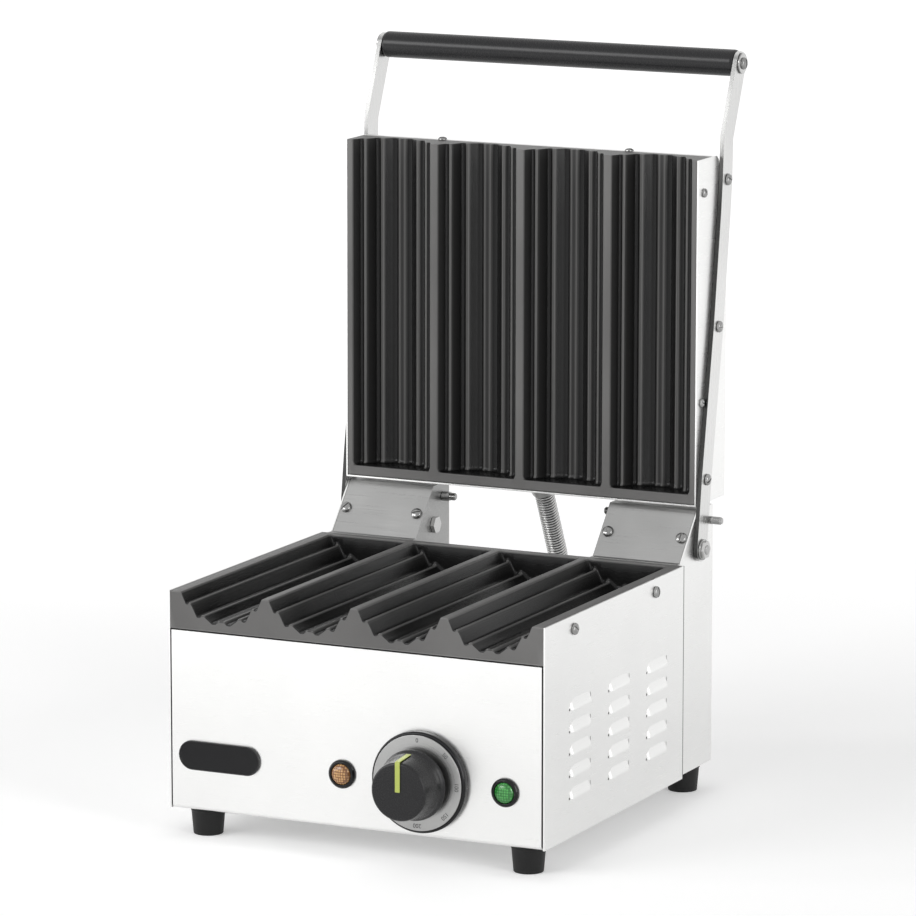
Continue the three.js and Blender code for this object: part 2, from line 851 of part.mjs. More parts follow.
function feet() {
  const top = footHeight - fitGap;
  const profile = [[0, 0], [footBottomRadius, 0], [footTopRadius, top], [0, top]];
  [["front", footFrontInset], ["rear", rearFace - footRearInset]].forEach(([word, y]) => {
    bothSides((hand, side) => {
      const centre = [side * (halfBody - footSideInset), y, 0];
      place(`foot_${word}_${hand}`, turned(profile, "z", centre), "rubber");
    });
  });
}

// The pivot bolt of each arm, and the stop rod that the open arm rests on
function pivots() {
  const head = towerInner - fitGap;
  const washer = armOuter + fitGap;
  const nut = washer + sheet;
  const boltEnd = nut + boltHeadLength;
  const rodEnd = armOuter + stopRodOverhang;
  const bolt = [
    [0, head - boltHeadLength],
    [boltHeadRadius, head - boltHeadLength],
    [boltHeadRadius, head],
    [pivotBoltRadius, head],
    [pivotBoltRadius, washer],
    [washerRadius, washer],
    [washerRadius, nut],
    [boltHeadRadius, nut],
    [boltHeadRadius * 0.8, boltEnd],
    [0, boltEnd],
  ];
  const rod = [
    [0, head - stopRodInnerOverhang],
    [stopRodRadius, head - stopRodInnerOverhang],
    [stopRodRadius, head - stopNutLength],
    [stopNutRadius, head - stopNutLength],
    [stopNutRadius, head],
    [stopRodRadius, head],
    [stopRodRadius, rodEnd - sheet],
    [stopRodRadius - sheet / 2, rodEnd],
    [0, rodEnd],
  ];
  bothSides((word, side) => {
    place(`pivot_bolt_${word}`, turned(mirrored(side, bolt), "x", [0, pivotY, pivotZ]), "darkSteel");
    place(`stop_rod_${word}`, turned(mirrored(side, rod), "x", [0, stopRodY, stopRodZ], smallSides), "darkSteel");
  });
}

// Middle line of an arm, in (y, z) about the pivot
const armLine = armShares.map(([reach, rise]) => new THREE.Vector2(-reach * handleReach, rise * handleRise));
const armScrewPlaces = armScrewStations.map((station) => [armLine[station].x, armLine[station].y]);

// Lid, drawn closed about its pivot: y is negative towards the free end, z is up from the pivot.
function upperPlate() {
  const hinge = lidHinge - sheet - fitGap;
  const [screwY, screwZ] = armScrewPlaces[0];
  const depth = lidInner - plateScrewHold;
  const made = cut(
    join(
      prismY(plateSection(lidInner, plateBack, faceRise), lidFree, hinge - endWall + overrun),
      box(-lidInner, lidInner, hinge - endWall, hinge, faceRise, plateBack),
    ),
    bar(screwHoleRadius, "x", depth, halfLid, [0, screwY, screwZ], smallSides),
    bar(screwHoleRadius, "x", -halfLid, -depth, [0, screwY, screwZ], smallSides),
  );
  place("upper_plate", made, "casting", lid);
}

// The cover's long section, or its hollow when inset: square at the hinge, chamfered at the free end's back
function coverSection(inset) {
  const face = inset ? faceRise - overrun : faceRise;
  return [
    [lidFree + inset, face],
    [lidHinge - inset, face],
    [lidHinge - inset, coverBack - inset],
    [coverBend, coverBack - inset],
    [lidFree + inset, coverEndBack - inset],
  ];
}

function lidCover() {
  const through = halfLid + overrun;
  const inner = halfLid - sheet;
  const made = cut(
    prismX(coverSection(0), -halfLid, halfLid),
    prismX(coverSection(sheet), -inner, inner),
    box(-inner, inner, lidFree - overrun, lidFree + overrun, faceRise - overrun, plateBack + fitGap),
    bar(wireHoleRadius, "y", lidHinge - sheet - overrun, lidHinge + overrun, [0, 0, guardRise]),
    ...armScrewPlaces.map(([y, z]) => bar(screwHoleRadius, "x", -through, through, [0, y, z], smallSides)),
  );
  place("lid_cover", made, "steel", lid);
}

// The arm's flat outline: its middle line set out to both sides, with round ends
function armOutline() {
  const radius = armWidth / 2;
  const last = armLine.length - 1;
  const edge = (sign) => armLine.map((point, i) => {
    const before = armLine[Math.max(i - 1, 0)];
    const after = armLine[Math.min(i + 1, last)];
    const along = after.clone().sub(before).normalize();
    return new THREE.Vector2(point.x - sign * radius * along.y, point.y + sign * radius * along.x);
  });
  const cap = (centre, from) => {
    const start = Math.atan2(from.y - centre.y, from.x - centre.x);
    const points = [];
    for (let i = 1; i < tubeSides; i++) {
      const angle = start - (Math.PI * i) / tubeSides;
      points.push(new THREE.Vector2(centre.x + radius * Math.cos(angle), centre.y + radius * Math.sin(angle)));
    }
    return points;
  };
  const one = edge(1);
  const other = edge(-1).reverse();
  const points = [...one, ...cap(armLine[last], one[last]), ...other, ...cap(armLine[0], other[last])];
  return points.map((point) => [point.x, point.y]);
}

function arms() {
  bothSides((word, side) => {
    const [x0, x1] = across(side, armInner, armOuter);
    const hole = (radius, y, z) => bar(radius, "x", x0 - overrun, x1 + overrun, [0, y, z], smallSides);
    const made = cut(
      prismX(armOutline(), x0, x1),
      bar(boltHoleRadius, "x", x0 - overrun, x1 + overrun, [0, 0, 0]),
      hole(screwHoleRadius, -handleReach, handleRise),
      ...armScrewPlaces.map(([y, z]) => hole(screwHoleRadius, y, z)),
    );
    place(`lid_arm_${word}`, made, "steel", lid);
  });
}

// Turns a screw drawn along Y so that its head lies outside an arm
function onArm(side, y, z, made) {
  const matrix = new THREE.Matrix4().makeRotationZ((side * Math.PI) / 2);
  return moved(made, matrix.setPosition(side * armOuter, y, z));
}

function armScrews() {
  const screw = slottedScrew(armOuter - lidInner + overrun);
  const endScrew = slottedScrew(handleScrewReach, washerRadius);
  bothSides((word, side) => {
    armScrewPlaces.forEach(([y, z], i) => {
      place(`arm_screw_${word}_${i + 1}`, onArm(side, y, z, screw), "darkSteel", lid);
    });
    place(`handle_screw_${word}`, onArm(side, -handleReach, handleRise, endScrew), "darkSteel", lid);
  });
}

function handle() {
  const half = armInner - fitGap;
  const centre = [0, -handleReach, handleRise];
  const bore = handleRodRadius + fitGap;
  const grip = [
    [bore, -half],
    [handleRadius - sheet, -half],
    [handleRadius, sheet - half],
    [handleRadius, half - sheet],
    [handleRadius - sheet, half],
    [bore, half],
    [bore, -half],
  ];
  place("handle_grip", turned(grip, "x", centre), "blackPlastic", lid);
  const depth = half - handleScrewReach;
  const rod = cut(
    bar(handleRodRadius, "x", -half, half, centre, smallSides),
    bar(screwHoleRadius, "x", depth, half + overrun, centre, smallSides),
    bar(screwHoleRadius, "x", -half - overrun, -depth, centre, smallSides),
  );
  place("handle_rod", rod, "darkSteel", lid);
}

function lidHeating() {
  const z = plateBack + fitGap + elementRadius;
  const curve = elementCurve(lidFree + elementReach, lidHinge - elementReach, z);
  place("upper_element", tube(curve, elementRadius, elementSteps), "element", lid);
  const half = lidInner - insulationInset;
  const low = z + elementRadius + fitGap;
  const pad = box(-half, half, coverBend + overrun, lidHinge - sheet - fitGap, low, coverBack - sheet - fitGap);
  const wires = bar(wireHoleRadius, "y", lidHinge - 2 * wireTail, lidHinge, [0, 0, guardRise]);
  place("lid_insulation", cut(pad, wires), "wool", lid);
}

// One unbroken wire wound into a close coil about the guard's middle line.
// Its ends run straight for one wire thickness.
function coilGeometry(from, to) {
  const middle = coilRadius - coilWireRadius;
  const lead = 2 * coilWireRadius;
  const wound = to - from - 2 * lead;
  const curls = Math.floor(wound / coilPitch);
  const steps = curls * coilStepsPerCurl;
  const station = (distance, turn) => {
    const { point, along } = guard.at(distance);
    const out = new THREE.Vector3(1, 0, 0);
    const up = new THREE.Vector3().crossVectors(along, out);
    out.multiplyScalar(Math.cos(turn)).addScaledVector(up, Math.sin(turn));
    return { centre: point.addScaledVector(out, middle), along, out };
  };
  const stations = [station(from, 0)];
  for (let i = 0; i <= steps; i++) {
    stations.push(station(from + lead + (wound * i) / steps, (2 * Math.PI * i) / coilStepsPerCurl));
  }
  stations.push(station(to, 0));
  const rings = stations.map(({ centre, along, out }, i) => {
    const heading = new THREE.Vector3();
    if (i > 0) heading.add(centre.clone().sub(stations[i - 1].centre).normalize());
    if (i < stations.length - 1) heading.add(stations[i + 1].centre.clone().sub(centre).normalize());
    if (i === 0 || i === stations.length - 1) heading.copy(along);
    const third = new THREE.Vector3().crossVectors(heading, out).normalize();
    const first = new THREE.Vector3().crossVectors(third, heading).normalize();
    return Array.from({ length: coilWireSides }, (_, side) => {
      const angle = (2 * Math.PI * side) / coilWireSides;
      const rim = first.clone().multiplyScalar(Math.cos(angle)).addScaledVector(third, Math.sin(angle));
      return centre.clone().addScaledVector(rim, coilWireRadius);
    });
  });
  reportGap(rings, curls);
  return ringedGeometry(rings);
}

// Prints the least distance between points that lie most of a curl or more apart along the wire.
function reportGap(rings, curls) {
  let least = Infinity;
  for (let i = 0; i < rings.length; i++) {
    for (let j = i + coilStepsPerCurl - 2; j < rings.length; j++) {
      for (const a of rings[i]) for (const b of rings[j]) least = Math.min(least, a.distanceTo(b));
    }
  }
  console.log(`wire guard: ${curls} curls, least gap to itself ${least.toFixed(2)} mm`);
}

// A closed tube through rings that each have as many points
function ringedGeometry(rings) {
  const count = rings[0].length;
  const faces = [];
  for (let i = 0; i < rings.length - 1; i++) {
    for (let j = 0; j < count; j++) {
      const a = i * count + j;
      const b = i * count + ((j + 1) % count);
      faces.push(a, b, b + count, a, b + count, a + count);
    }
  }
  const last = (rings.length - 1) * count;
  for (let j = 1; j < count - 1; j++) faces.push(0, j + 1, j, last, last + j, last + j + 1);
  const geometry = new THREE.BufferGeometry();
  geometry.setFromPoints(rings.flat());
  geometry.setIndex(faces);
  return geometry;
}

// The guard's middle line as a curve, for the wires inside it
class GuardCurve extends THREE.Curve {
  getPoint(share, target = new THREE.Vector3()) {
    return target.copy(guard.at(share * (guard.length + 2 * wireTail) - wireTail).point);
  }
}

// A sleeve with a foot that holds one end of the guard. It is drawn along Y from its seat, leaning up.
function socket(lean) {
  const seat = fitGap;
  const leaning = new THREE.Matrix4().makeRotationX(lean);
  const reach = 2 * socketRadius;
  const sleeve = bar(socketRadius, "y", -socketRadius, socketLength, [0, 0, 0]);
  const bore = bar(wireBoreRadius, "y", -reach, socketLength + overrun, [0, 0, 0]);
  return cut(
    join(moved(sleeve, leaning), bar(socketFootRadius, "y", seat, seat + socketFoot, [0, 0, 0])),
    moved(bore, leaning),
    box(-reach, reach, -reach, seat, -reach, reach),
  );
}

function wireGuard() {
  const start = socketLength + fitGap;
  place("wire_guard", coilGeometry(start, guard.length - start), "steel");
  place("element_wires", tube(new GuardCurve(), wireBundleRadius, wireBundleSteps), "blackPlastic");
  const back = new THREE.Matrix4().makeTranslation(0, rearFace, guard.backZ);
  place("guard_socket_base", moved(socket(0), back), "darkSteel");
  const hinge = new THREE.Matrix4().makeTranslation(0, lidHinge, guardRise);
  place("guard_socket_lid", moved(socket(THREE.MathUtils.degToRad(guardLean)), hinge), "darkSteel", lid);
}

basePan();
frontPanel();
sidePanels();
rearHousing();
rearDeck();
towerCovers();
towerScrews();
lowerPlate();
lowerHeating();
thermostat();
wiring();
dial();
knob();
lamps();
badge();
feet();
pivots();
upperPlate();
lidCover();
arms();
armScrews();
handle();
lidHeating();
wireGuard();

// The origin is the middle of the footprint, on the surface that the feet stand on.
const grill = new THREE.Group();
grill.add(model);
grill.updateMatrixWorld(true);
const extent = new THREE.Box3().setFromObject(model, true);
model.position.set(-(extent.min.x + extent.max.x) / 2, -(extent.min.y + extent.max.y) / 2, -extent.min.z);

export default grill;
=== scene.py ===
# Contact grill: its looks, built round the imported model.
# Sizes are in millimetres in the drawing frame: X across, Y back from the front panel, Z up from the worktop.
# The lid's pieces are drawn closed, about the pivot, and then opened. BASE and LID turn both into the row frame.
import json
import math

import bmesh
import bpy
from mathutils import Euler, Matrix, Vector

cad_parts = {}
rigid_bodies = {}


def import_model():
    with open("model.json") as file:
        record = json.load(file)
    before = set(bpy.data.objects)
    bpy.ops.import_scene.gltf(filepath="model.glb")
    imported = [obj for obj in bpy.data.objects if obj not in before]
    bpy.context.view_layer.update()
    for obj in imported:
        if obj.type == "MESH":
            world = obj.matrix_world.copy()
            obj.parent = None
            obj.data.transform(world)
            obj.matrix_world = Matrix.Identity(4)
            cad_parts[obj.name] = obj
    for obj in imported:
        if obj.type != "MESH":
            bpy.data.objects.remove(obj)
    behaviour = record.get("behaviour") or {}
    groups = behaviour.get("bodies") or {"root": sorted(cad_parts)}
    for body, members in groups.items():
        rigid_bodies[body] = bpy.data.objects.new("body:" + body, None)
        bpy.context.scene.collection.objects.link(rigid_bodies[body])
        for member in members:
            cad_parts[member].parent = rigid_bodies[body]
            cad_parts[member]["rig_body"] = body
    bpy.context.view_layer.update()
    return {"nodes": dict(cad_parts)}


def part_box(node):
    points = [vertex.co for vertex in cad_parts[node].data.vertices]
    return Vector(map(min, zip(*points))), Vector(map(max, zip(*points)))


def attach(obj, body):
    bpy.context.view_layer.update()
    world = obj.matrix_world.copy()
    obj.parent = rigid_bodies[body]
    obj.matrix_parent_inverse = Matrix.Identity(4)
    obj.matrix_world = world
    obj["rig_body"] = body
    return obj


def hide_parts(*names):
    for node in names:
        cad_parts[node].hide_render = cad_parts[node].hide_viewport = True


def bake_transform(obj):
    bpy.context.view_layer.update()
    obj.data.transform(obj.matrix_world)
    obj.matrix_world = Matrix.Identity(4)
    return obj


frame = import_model()

MM = 0.001
OPEN_ANGLE = math.radians(90.2)
PIVOT_Y, PIVOT_Z = 279.5, 187.5
DIAL_X, DIAL_Z, LAMP_Z = 53.4, 61.8, 60.5
DIAL_CENTRE = (DIAL_X, 0, DIAL_Z)
FRONT_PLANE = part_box("lower_plate")[0].y
BASE = Matrix.Translation((0, FRONT_PLANE, 0)) @ Matrix.Scale(MM, 4)
OPENED = Matrix.Translation((0, PIVOT_Y, PIVOT_Z)) @ Matrix.Rotation(-OPEN_ANGLE, 4, "X")
LID = BASE @ OPENED
SIDES = (("left", -1), ("right", 1))


# Objects and nodes

def placed(name, data):
    """A new object in the scene"""
    thing = bpy.data.objects.new(name, data)
    bpy.context.scene.collection.objects.link(thing)
    return thing


def baked(holder):
    """The plain mesh that an object and its modifiers give; the object itself goes."""
    depsgraph = bpy.context.evaluated_depsgraph_get()
    mesh = bpy.data.meshes.new_from_object(holder.evaluated_get(depsgraph), depsgraph=depsgraph)
    bpy.data.objects.remove(holder)
    return mesh


def add(tree, kind, sockets=None, **settings):
    """Adds a node: sockets gives values for its inputs, and settings are the node's own."""
    node = tree.nodes.new(kind)
    for label, setting in settings.items():
        setattr(node, label, setting)
    for label, value in (sockets or {}).items():
        node.inputs[label].default_value = value
    return node


def join(tree, *links):
    """Joins nodes: each link names a node, its output, the next node and its input."""
    for start, output, end, socket in links:
        tree.links.new(start.outputs[output], end.inputs[socket])


def grouped(name, kind, inputs, outputs):
    """A node group with its sockets, each a label and a kind, and for some a value"""
    group = bpy.data.node_groups.new(name, kind)
    for in_out, sockets in (("INPUT", inputs), ("OUTPUT", outputs)):
        for label, socket_kind, *value in sockets:
            item = group.interface.new_socket(name=label, in_out=in_out, socket_type="NodeSocket" + socket_kind)
            if value:
                item.default_value = value[0]
    return group, group.nodes.new("NodeGroupInput"), group.nodes.new("NodeGroupOutput")


def principled(name, sockets):
    """A material with values on its shader's own sockets"""
    material = bpy.data.materials.new(name)
    material.use_nodes = True
    shader = material.node_tree.nodes["Principled BSDF"]
    for label, value in sockets.items():
        shader.inputs[label].default_value = value
    return material, material.node_tree, shader


# Stage

def aim_camera():
    """A long lens about four metres away, to the right of the front and a little above"""
    back = Vector((0.42801, -0.88538, 0.18138)).normalized()
    target, distance = Vector((24.26, 120, 273.04)), 4261.1
    data = bpy.data.cameras.new("photo_camera")
    data.lens = 231.17
    data.sensor_width = 36
    data.clip_end = 60
    camera = placed("photo_camera", data)
    camera.location = BASE @ (target + back * distance)
    camera.rotation_euler = back.to_track_quat("Z", "Y").to_euler()
    bpy.context.scene.camera = camera


def softbox(name, place, aim, size, power):
    """A lamp with its place, aim and size in metres and its power in watts"""
    data = bpy.data.lights.new(name, "AREA")
    data.shape = "RECTANGLE"
    data.size, data.size_y = size
    data.energy = power
    lamp = placed(name, data)
    lamp.location = place
    lamp.rotation_euler = (Vector(place) - Vector(aim)).to_track_quat("Z", "Y").to_euler()


def on_rays(tree, *kinds):
    """1 on the rays of the kinds named, two or more, and 0 on all others"""
    path = add(tree, "ShaderNodeLightPath")
    found, output = path, kinds[0]
    for kind in kinds[1:]:
        either = add(tree, "ShaderNodeMath", operation="MAXIMUM")
        join(tree, (found, output, either, 0), (path, kind, either, 1))
        found, output = either, 0
    return found


def white_studio(ambient=0.5):
    """White where it is seen, and dimmer as a source of light"""
    world = bpy.data.worlds.new("white_studio")
    bpy.context.scene.world = world
    world.use_nodes = True
    tree = world.node_tree
    background = tree.nodes["Background"]
    background.inputs["Color"].default_value = (1, 1, 1, 1)
    seen = on_rays(tree, "Is Camera Ray", "Is Glossy Ray", "Is Transmission Ray")
    strength = add(tree, "ShaderNodeMapRange", {"To Min": ambient, "To Max": 1.0})
    join(tree, (seen, 0, strength, "Value"), (strength, "Result", background, "Strength"))


def pale_floor():
    """A pale floor that glows more with distance, until it can't be told from the studio's white"""
    bpy.ops.mesh.primitive_plane_add(size=30)
    floor = bpy.context.object
    floor.name = "floor"
    material, tree, shader = principled("pale_floor", {
        "Base Color": (0.86, 0.86, 0.86, 1), "Roughness": 0.9, "Emission Color": (1, 1, 1, 1)})
    place = add(tree, "ShaderNodeTexCoord")
    reach = add(tree, "ShaderNodeVectorMath", operation="LENGTH")
    amount = add(tree, "ShaderNodeMapRange", {"From Min": 0.45, "From Max": 1.9, "To Min": 0.30, "To Max": 0.62})
    glow = add(tree, "ShaderNodeMath", operation="MULTIPLY")
    join(tree, (place, "Object", reach, 0), (reach, "Value", amount, "Value"),
         (on_rays(tree, "Is Camera Ray", "Is Glossy Ray"), 0, glow, 0), (amount, "Result", glow, 1),
         (glow, 0, shader, "Emission Strength"))
    floor.data.materials.append(material)


# Effects that the finishes share

def grain_effect():
    """Fine grain: its height, a roughness between two values, and the normal of its relief"""
    group, given, result = grouped(
        "fine_grain", "ShaderNodeTree",
        [("Vector", "Vector"), ("Scale", "Float", 8.0), ("Smooth", "Float", 0.25), ("Rough", "Float", 0.4),
         ("Depth", "Float", 0.2)],
        [("Grain", "Float"), ("Roughness", "Float"), ("Normal", "Vector")])
    noise = add(group, "ShaderNodeTexNoise", {"Detail": 5, "Roughness": 0.6})
    spread = add(group, "ShaderNodeMapRange", {"From Min": 0.3, "From Max": 0.7})
    relief = add(group, "ShaderNodeBump", {"Distance": 0.0002})
    join(group, (given, "Vector", noise, "Vector"), (given, "Scale", noise, "Scale"),
         (noise, "Fac", spread, "Value"), (given, "Smooth", spread, "To Min"), (given, "Rough", spread, "To Max"),
         (noise, "Fac", relief, "Height"), (given, "Depth", relief, "Strength"), (noise, "Fac", result, "Grain"),
         (spread, "Result", result, "Roughness"), (relief, "Normal", result, "Normal"))
    return group


def tone_effect():
    """Two tones of one finish in soft patches, with a third along its sharp edges: partly wear, partly a painted
    highlight
    """
    group, given, result = grouped(
        "tone_and_wear", "ShaderNodeTree",
        [("Vector", "Vector"), ("Scale", "Float", 9.0), ("Tone", "Color", (0.5, 0.5, 0.5, 1)),
         ("Patch", "Color", (0.4, 0.4, 0.4, 1)), ("Worn", "Color", (0.6, 0.6, 0.6, 1)), ("Wear", "Float", 0.0)],
        [("Color", "Color")])
    noise = add(group, "ShaderNodeTexNoise", {"Detail": 3})
    spread = add(group, "ShaderNodeMapRange", {"From Min": 0.35, "From Max": 0.65})
    tones = add(group, "ShaderNodeMix", data_type="RGBA")
    # Sharp edges found by pointiness take the lighter tone: wear, and a painted highlight.
    edge = add(group, "ShaderNodeNewGeometry")
    sharp = add(group, "ShaderNodeMapRange", {"From Min": 0.52, "From Max": 0.62})
    amount = add(group, "ShaderNodeMath", operation="MULTIPLY")
    worn_and_highlit = add(group, "ShaderNodeMix", data_type="RGBA")
    join(group, (given, "Vector", noise, "Vector"), (given, "Scale", noise, "Scale"),
         (noise, "Fac", spread, "Value"), (spread, "Result", tones, "Factor"), (given, "Tone", tones, "A"),
         (given, "Patch", tones, "B"), (edge, "Pointiness", sharp, "Value"), (sharp, "Result", amount, 0),
         (given, "Wear", amount, 1), (amount, 0, worn_and_highlit, "Factor"), (tones, "Result", worn_and_highlit, "A"),
         (given, "Worn", worn_and_highlit, "B"), (worn_and_highlit, "Result", result, "Color"))
    return group


def facet_glint_effect():
    """Small even dots of a light tone in a deep one, painted as the light that a lens's facets catch"""
    group, given, result = grouped(
        "moulded_dots", "ShaderNodeTree",
        [("Vector", "Vector"), ("Scale", "Float", 520.0), ("Tone", "Color", (0.5, 0.5, 0.5, 1)),
         ("Deep", "Color", (0.1, 0.1, 0.1, 1))],
        [("Color", "Color")])
    cells = add(group, "ShaderNodeTexVoronoi", {"Randomness": 0.2})
    spread = add(group, "ShaderNodeMapRange", {"From Min": 0.15, "From Max": 0.55})
    tones = add(group, "ShaderNodeMix", data_type="RGBA")
    join(group, (given, "Vector", cells, "Vector"), (given, "Scale", cells, "Scale"),
         (cells, "Distance", spread, "Value"), (spread, "Result", tones, "Factor"), (given, "Tone", tones, "A"),
         (given, "Deep", tones, "B"), (tones, "Result", result, "Color"))
    return group


FINE_GRAIN = grain_effect()
TONE_WEAR_AND_HIGHLIGHT = tone_effect()
FACET_GLINT_DOTS = facet_glint_effect()


# Finishes

FINISHES = {}
EVEN, BRUSHED_LEVEL, BRUSHED_ACROSS, BRUSHED_UPRIGHT = (100, 100, 100), (4, 4, 300), (3, 110, 110), (300, 300, 4)


def grey(value):
    return (value, value, value * 0.99)


def finish(name, tone, patch, rough, stretch, grain=8.0, depth=0.2, metallic=0.0, specular=0.5, worn_and_highlit=None,
           wear_and_highlight=0.0, patch_scale=9.0):
    """A finish with grain on stretched object coordinates; gives its node tree"""
    material, tree, shader = principled(name, {"Metallic": metallic, "Specular IOR Level": specular})
    place = add(tree, "ShaderNodeTexCoord", name="place")
    stretched = add(tree, "ShaderNodeMapping", {"Scale": stretch})
    grained = add(tree, "ShaderNodeGroup", {"Scale": grain, "Smooth": rough[0], "Rough": rough[1], "Depth": depth},
                  node_tree=FINE_GRAIN, name="grained")
    toned = add(tree, "ShaderNodeGroup", {"Scale": patch_scale, "Tone": (*tone, 1), "Patch": (*patch, 1),
                                          "Worn": (*(worn_and_highlit or tone), 1), "Wear": wear_and_highlight},
                node_tree=TONE_WEAR_AND_HIGHLIGHT, name="toned")
    join(tree, (place, "Object", stretched, "Vector"), (stretched, "Vector", grained, "Vector"),
         (place, "Object", toned, "Vector"), (toned, "Color", shader, "Base Color"),
         (grained, "Roughness", shader, "Roughness"), (grained, "Normal", shader, "Normal"))
    FINISHES[name] = material
    return tree


def coat_channels(tree, tone, rough, crest_highlight, patch_share=0.75, wear_and_highlight_share=24):
    """Glossier, darker coating inside the channels, from the depth that the plates' points carry, with a painted
    highlight in a lighter tone along their crests
    """
    shader, place, toned, grained = (tree.nodes[name] for name in ("Principled BSDF", "place", "toned", "grained"))
    depth = add(tree, "ShaderNodeAttribute", attribute_name="channel")
    crest = add(tree, "ShaderNodeAttribute", attribute_name="crest")
    inside = add(tree, "ShaderNodeMapRange", {"From Min": 0.3, "From Max": 1.5})
    coated = add(tree, "ShaderNodeGroup", {
        "Tone": (*tone, 1), "Patch": (*(value * patch_share for value in tone), 1),
        "Worn": (*(value * wear_and_highlight_share for value in tone), 1), "Wear": 0.9}, node_tree=TONE_WEAR_AND_HIGHLIGHT)
    # Painted highlight: a lighter tone on the crests inside the channels.
    crest_highlighted = add(tree, "ShaderNodeMix", {"B": (*crest_highlight, 1)}, data_type="RGBA")
    smooth = add(tree, "ShaderNodeMapRange", {"To Min": rough[0], "To Max": rough[1]})
    join(tree, (depth, "Fac", inside, "Value"), (place, "Object", coated, "Vector"),
         (crest, "Fac", crest_highlighted, "Factor"), (coated, "Color", crest_highlighted, "A"), (grained, "Grain", smooth, "Value"))
    for first, output, second, kind, socket in ((toned, "Color", crest_highlighted, "RGBA", "Base Color"),
                                                (grained, "Roughness", smooth, "FLOAT", "Roughness")):
        mixed = add(tree, "ShaderNodeMix", data_type=kind)
        join(tree, (inside, "Result", mixed, "Factor"), (first, output, mixed, "A"), (second, "Result", mixed, "B"),
             (mixed, "Result", shader, socket))


def ring_grain(tree, x, z):
    """Turns a finish's grain into fine rings round a point on the front"""
    centred = add(tree, "ShaderNodeMapping", {"Location": (-x, 0, -z)})
    flat = add(tree, "ShaderNodeVectorMath", {1: (1, 0, 1)}, operation="MULTIPLY")
    radius = add(tree, "ShaderNodeVectorMath", operation="LENGTH")
    rings = add(tree, "ShaderNodeCombineXYZ")
    join(tree, (tree.nodes["place"], "Object", centred, "Vector"), (centred, "Vector", flat, 0),
         (flat, "Vector", radius, 0), (radius, "Value", rings, "X"), (rings, "Vector", tree.nodes["grained"], "Vector"))


def lens_finish(name, tone, deep):
    """Clear coloured moulding, with painted light at the points of its pattern where its facets catch it"""
    tree = finish(name, tone, deep, (0.06, 0.14), EVEN, grain=10.0, depth=0.05, specular=0.6)
    dots = add(tree, "ShaderNodeGroup", {"Tone": (*tone, 1), "Deep": (*deep, 1)}, node_tree=FACET_GLINT_DOTS)
    join(tree, (tree.nodes["place"], "Object", dots, "Vector"),
         (dots, "Color", tree.nodes["Principled BSDF"], "Base Color"))


def paint_shade_beside_plate(tree, tone, above, below):
    """Paints shade on the arms' edges that face the front, beside the plate, where the gap to the cover lies in shadow:
    between two heights it comes in.
    """
    both = add(tree, "ShaderNodeMath", operation="MULTIPLY")
    for number, (given, part, start, end) in enumerate((("Normal", "Y", -0.5, -0.85), ("Object", "Z", above, below))):
        split = add(tree, "ShaderNodeSeparateXYZ")
        spread = add(tree, "ShaderNodeMapRange", {"From Min": start, "From Max": end})
        join(tree, (tree.nodes["place"], given, split, 0), (split, part, spread, "Value"),
             (spread, "Result", both, number))
    mixed = add(tree, "ShaderNodeMix", {"B": (*tone, 1)}, data_type="RGBA")
    join(tree, (both, 0, mixed, "Factor"), (tree.nodes["toned"], "Color", mixed, "A"),
         (mixed, "Result", tree.nodes["Principled BSDF"], "Base Color"))


# The worn tones paint sharp edges lighter: partly wear, partly painted highlight.
finish("satin_steel", grey(0.86), grey(0.82), (0.26, 0.36), BRUSHED_LEVEL, depth=0.06, metallic=1)
arm_tree = finish("arm_steel", grey(0.68), grey(0.62), (0.22, 0.34), BRUSHED_UPRIGHT, depth=0.08, metallic=1)
finish("tower_steel", grey(0.41), grey(0.32), (0.24, 0.50), BRUSHED_ACROSS, depth=0.3, metallic=1)
finish("plain_steel", grey(0.46), grey(0.38), (0.28, 0.42), EVEN, depth=0.15, metallic=1, worn_and_highlit=grey(0.7), wear_and_highlight=0.5)
finish("screw_steel", grey(0.32), grey(0.22), (0.12, 0.24), EVEN, depth=0.1, metallic=1, worn_and_highlit=grey(0.7), wear_and_highlight=0.6)
finish("spring_steel", grey(0.62), grey(0.5), (0.16, 0.28), EVEN, depth=0.1, metallic=1)
plate_tree = finish("cast_plate", (0.165, 0.163, 0.160), (0.130, 0.128, 0.126), (0.36, 0.50), EVEN, grain=9.0,
                    depth=0.9, specular=0.22, worn_and_highlit=(0.28, 0.278, 0.275), wear_and_highlight=0.7)
finish("black_plastic", (0.022, 0.022, 0.023), (0.015, 0.015, 0.016), (0.20, 0.32), EVEN, grain=14.0, depth=0.1,
       specular=0.28, worn_and_highlit=(0.12, 0.12, 0.122), wear_and_highlight=0.5)
finish("badge_black", (0.008, 0.008, 0.009), (0.006, 0.006, 0.007), (0.14, 0.24), EVEN, grain=6.0, depth=0.03,
       specular=0.26, worn_and_highlit=(0.12, 0.12, 0.12), wear_and_highlight=0.6)
finish("pointer_lime", (0.50, 0.56, 0.13), (0.45, 0.52, 0.11), (0.32, 0.42), EVEN, depth=0.08)
finish("foot_rubber", (0.010, 0.010, 0.010), (0.007, 0.007, 0.007), (0.45, 0.62), EVEN, grain=12.0, depth=0.4,
       specular=0.3, worn_and_highlit=(0.04, 0.04, 0.04), wear_and_highlight=0.4)
finish("ceramic", (0.74, 0.70, 0.62), (0.68, 0.64, 0.56), (0.45, 0.6), EVEN)
finish("insulation", (0.62, 0.58, 0.46), (0.5, 0.46, 0.36), (0.85, 0.98), EVEN, grain=16.0, depth=0.9,
       patch_scale=60.0)
finish("copper", (0.62, 0.33, 0.18), (0.5, 0.25, 0.14), (0.25, 0.4), EVEN, depth=0.1, metallic=1)
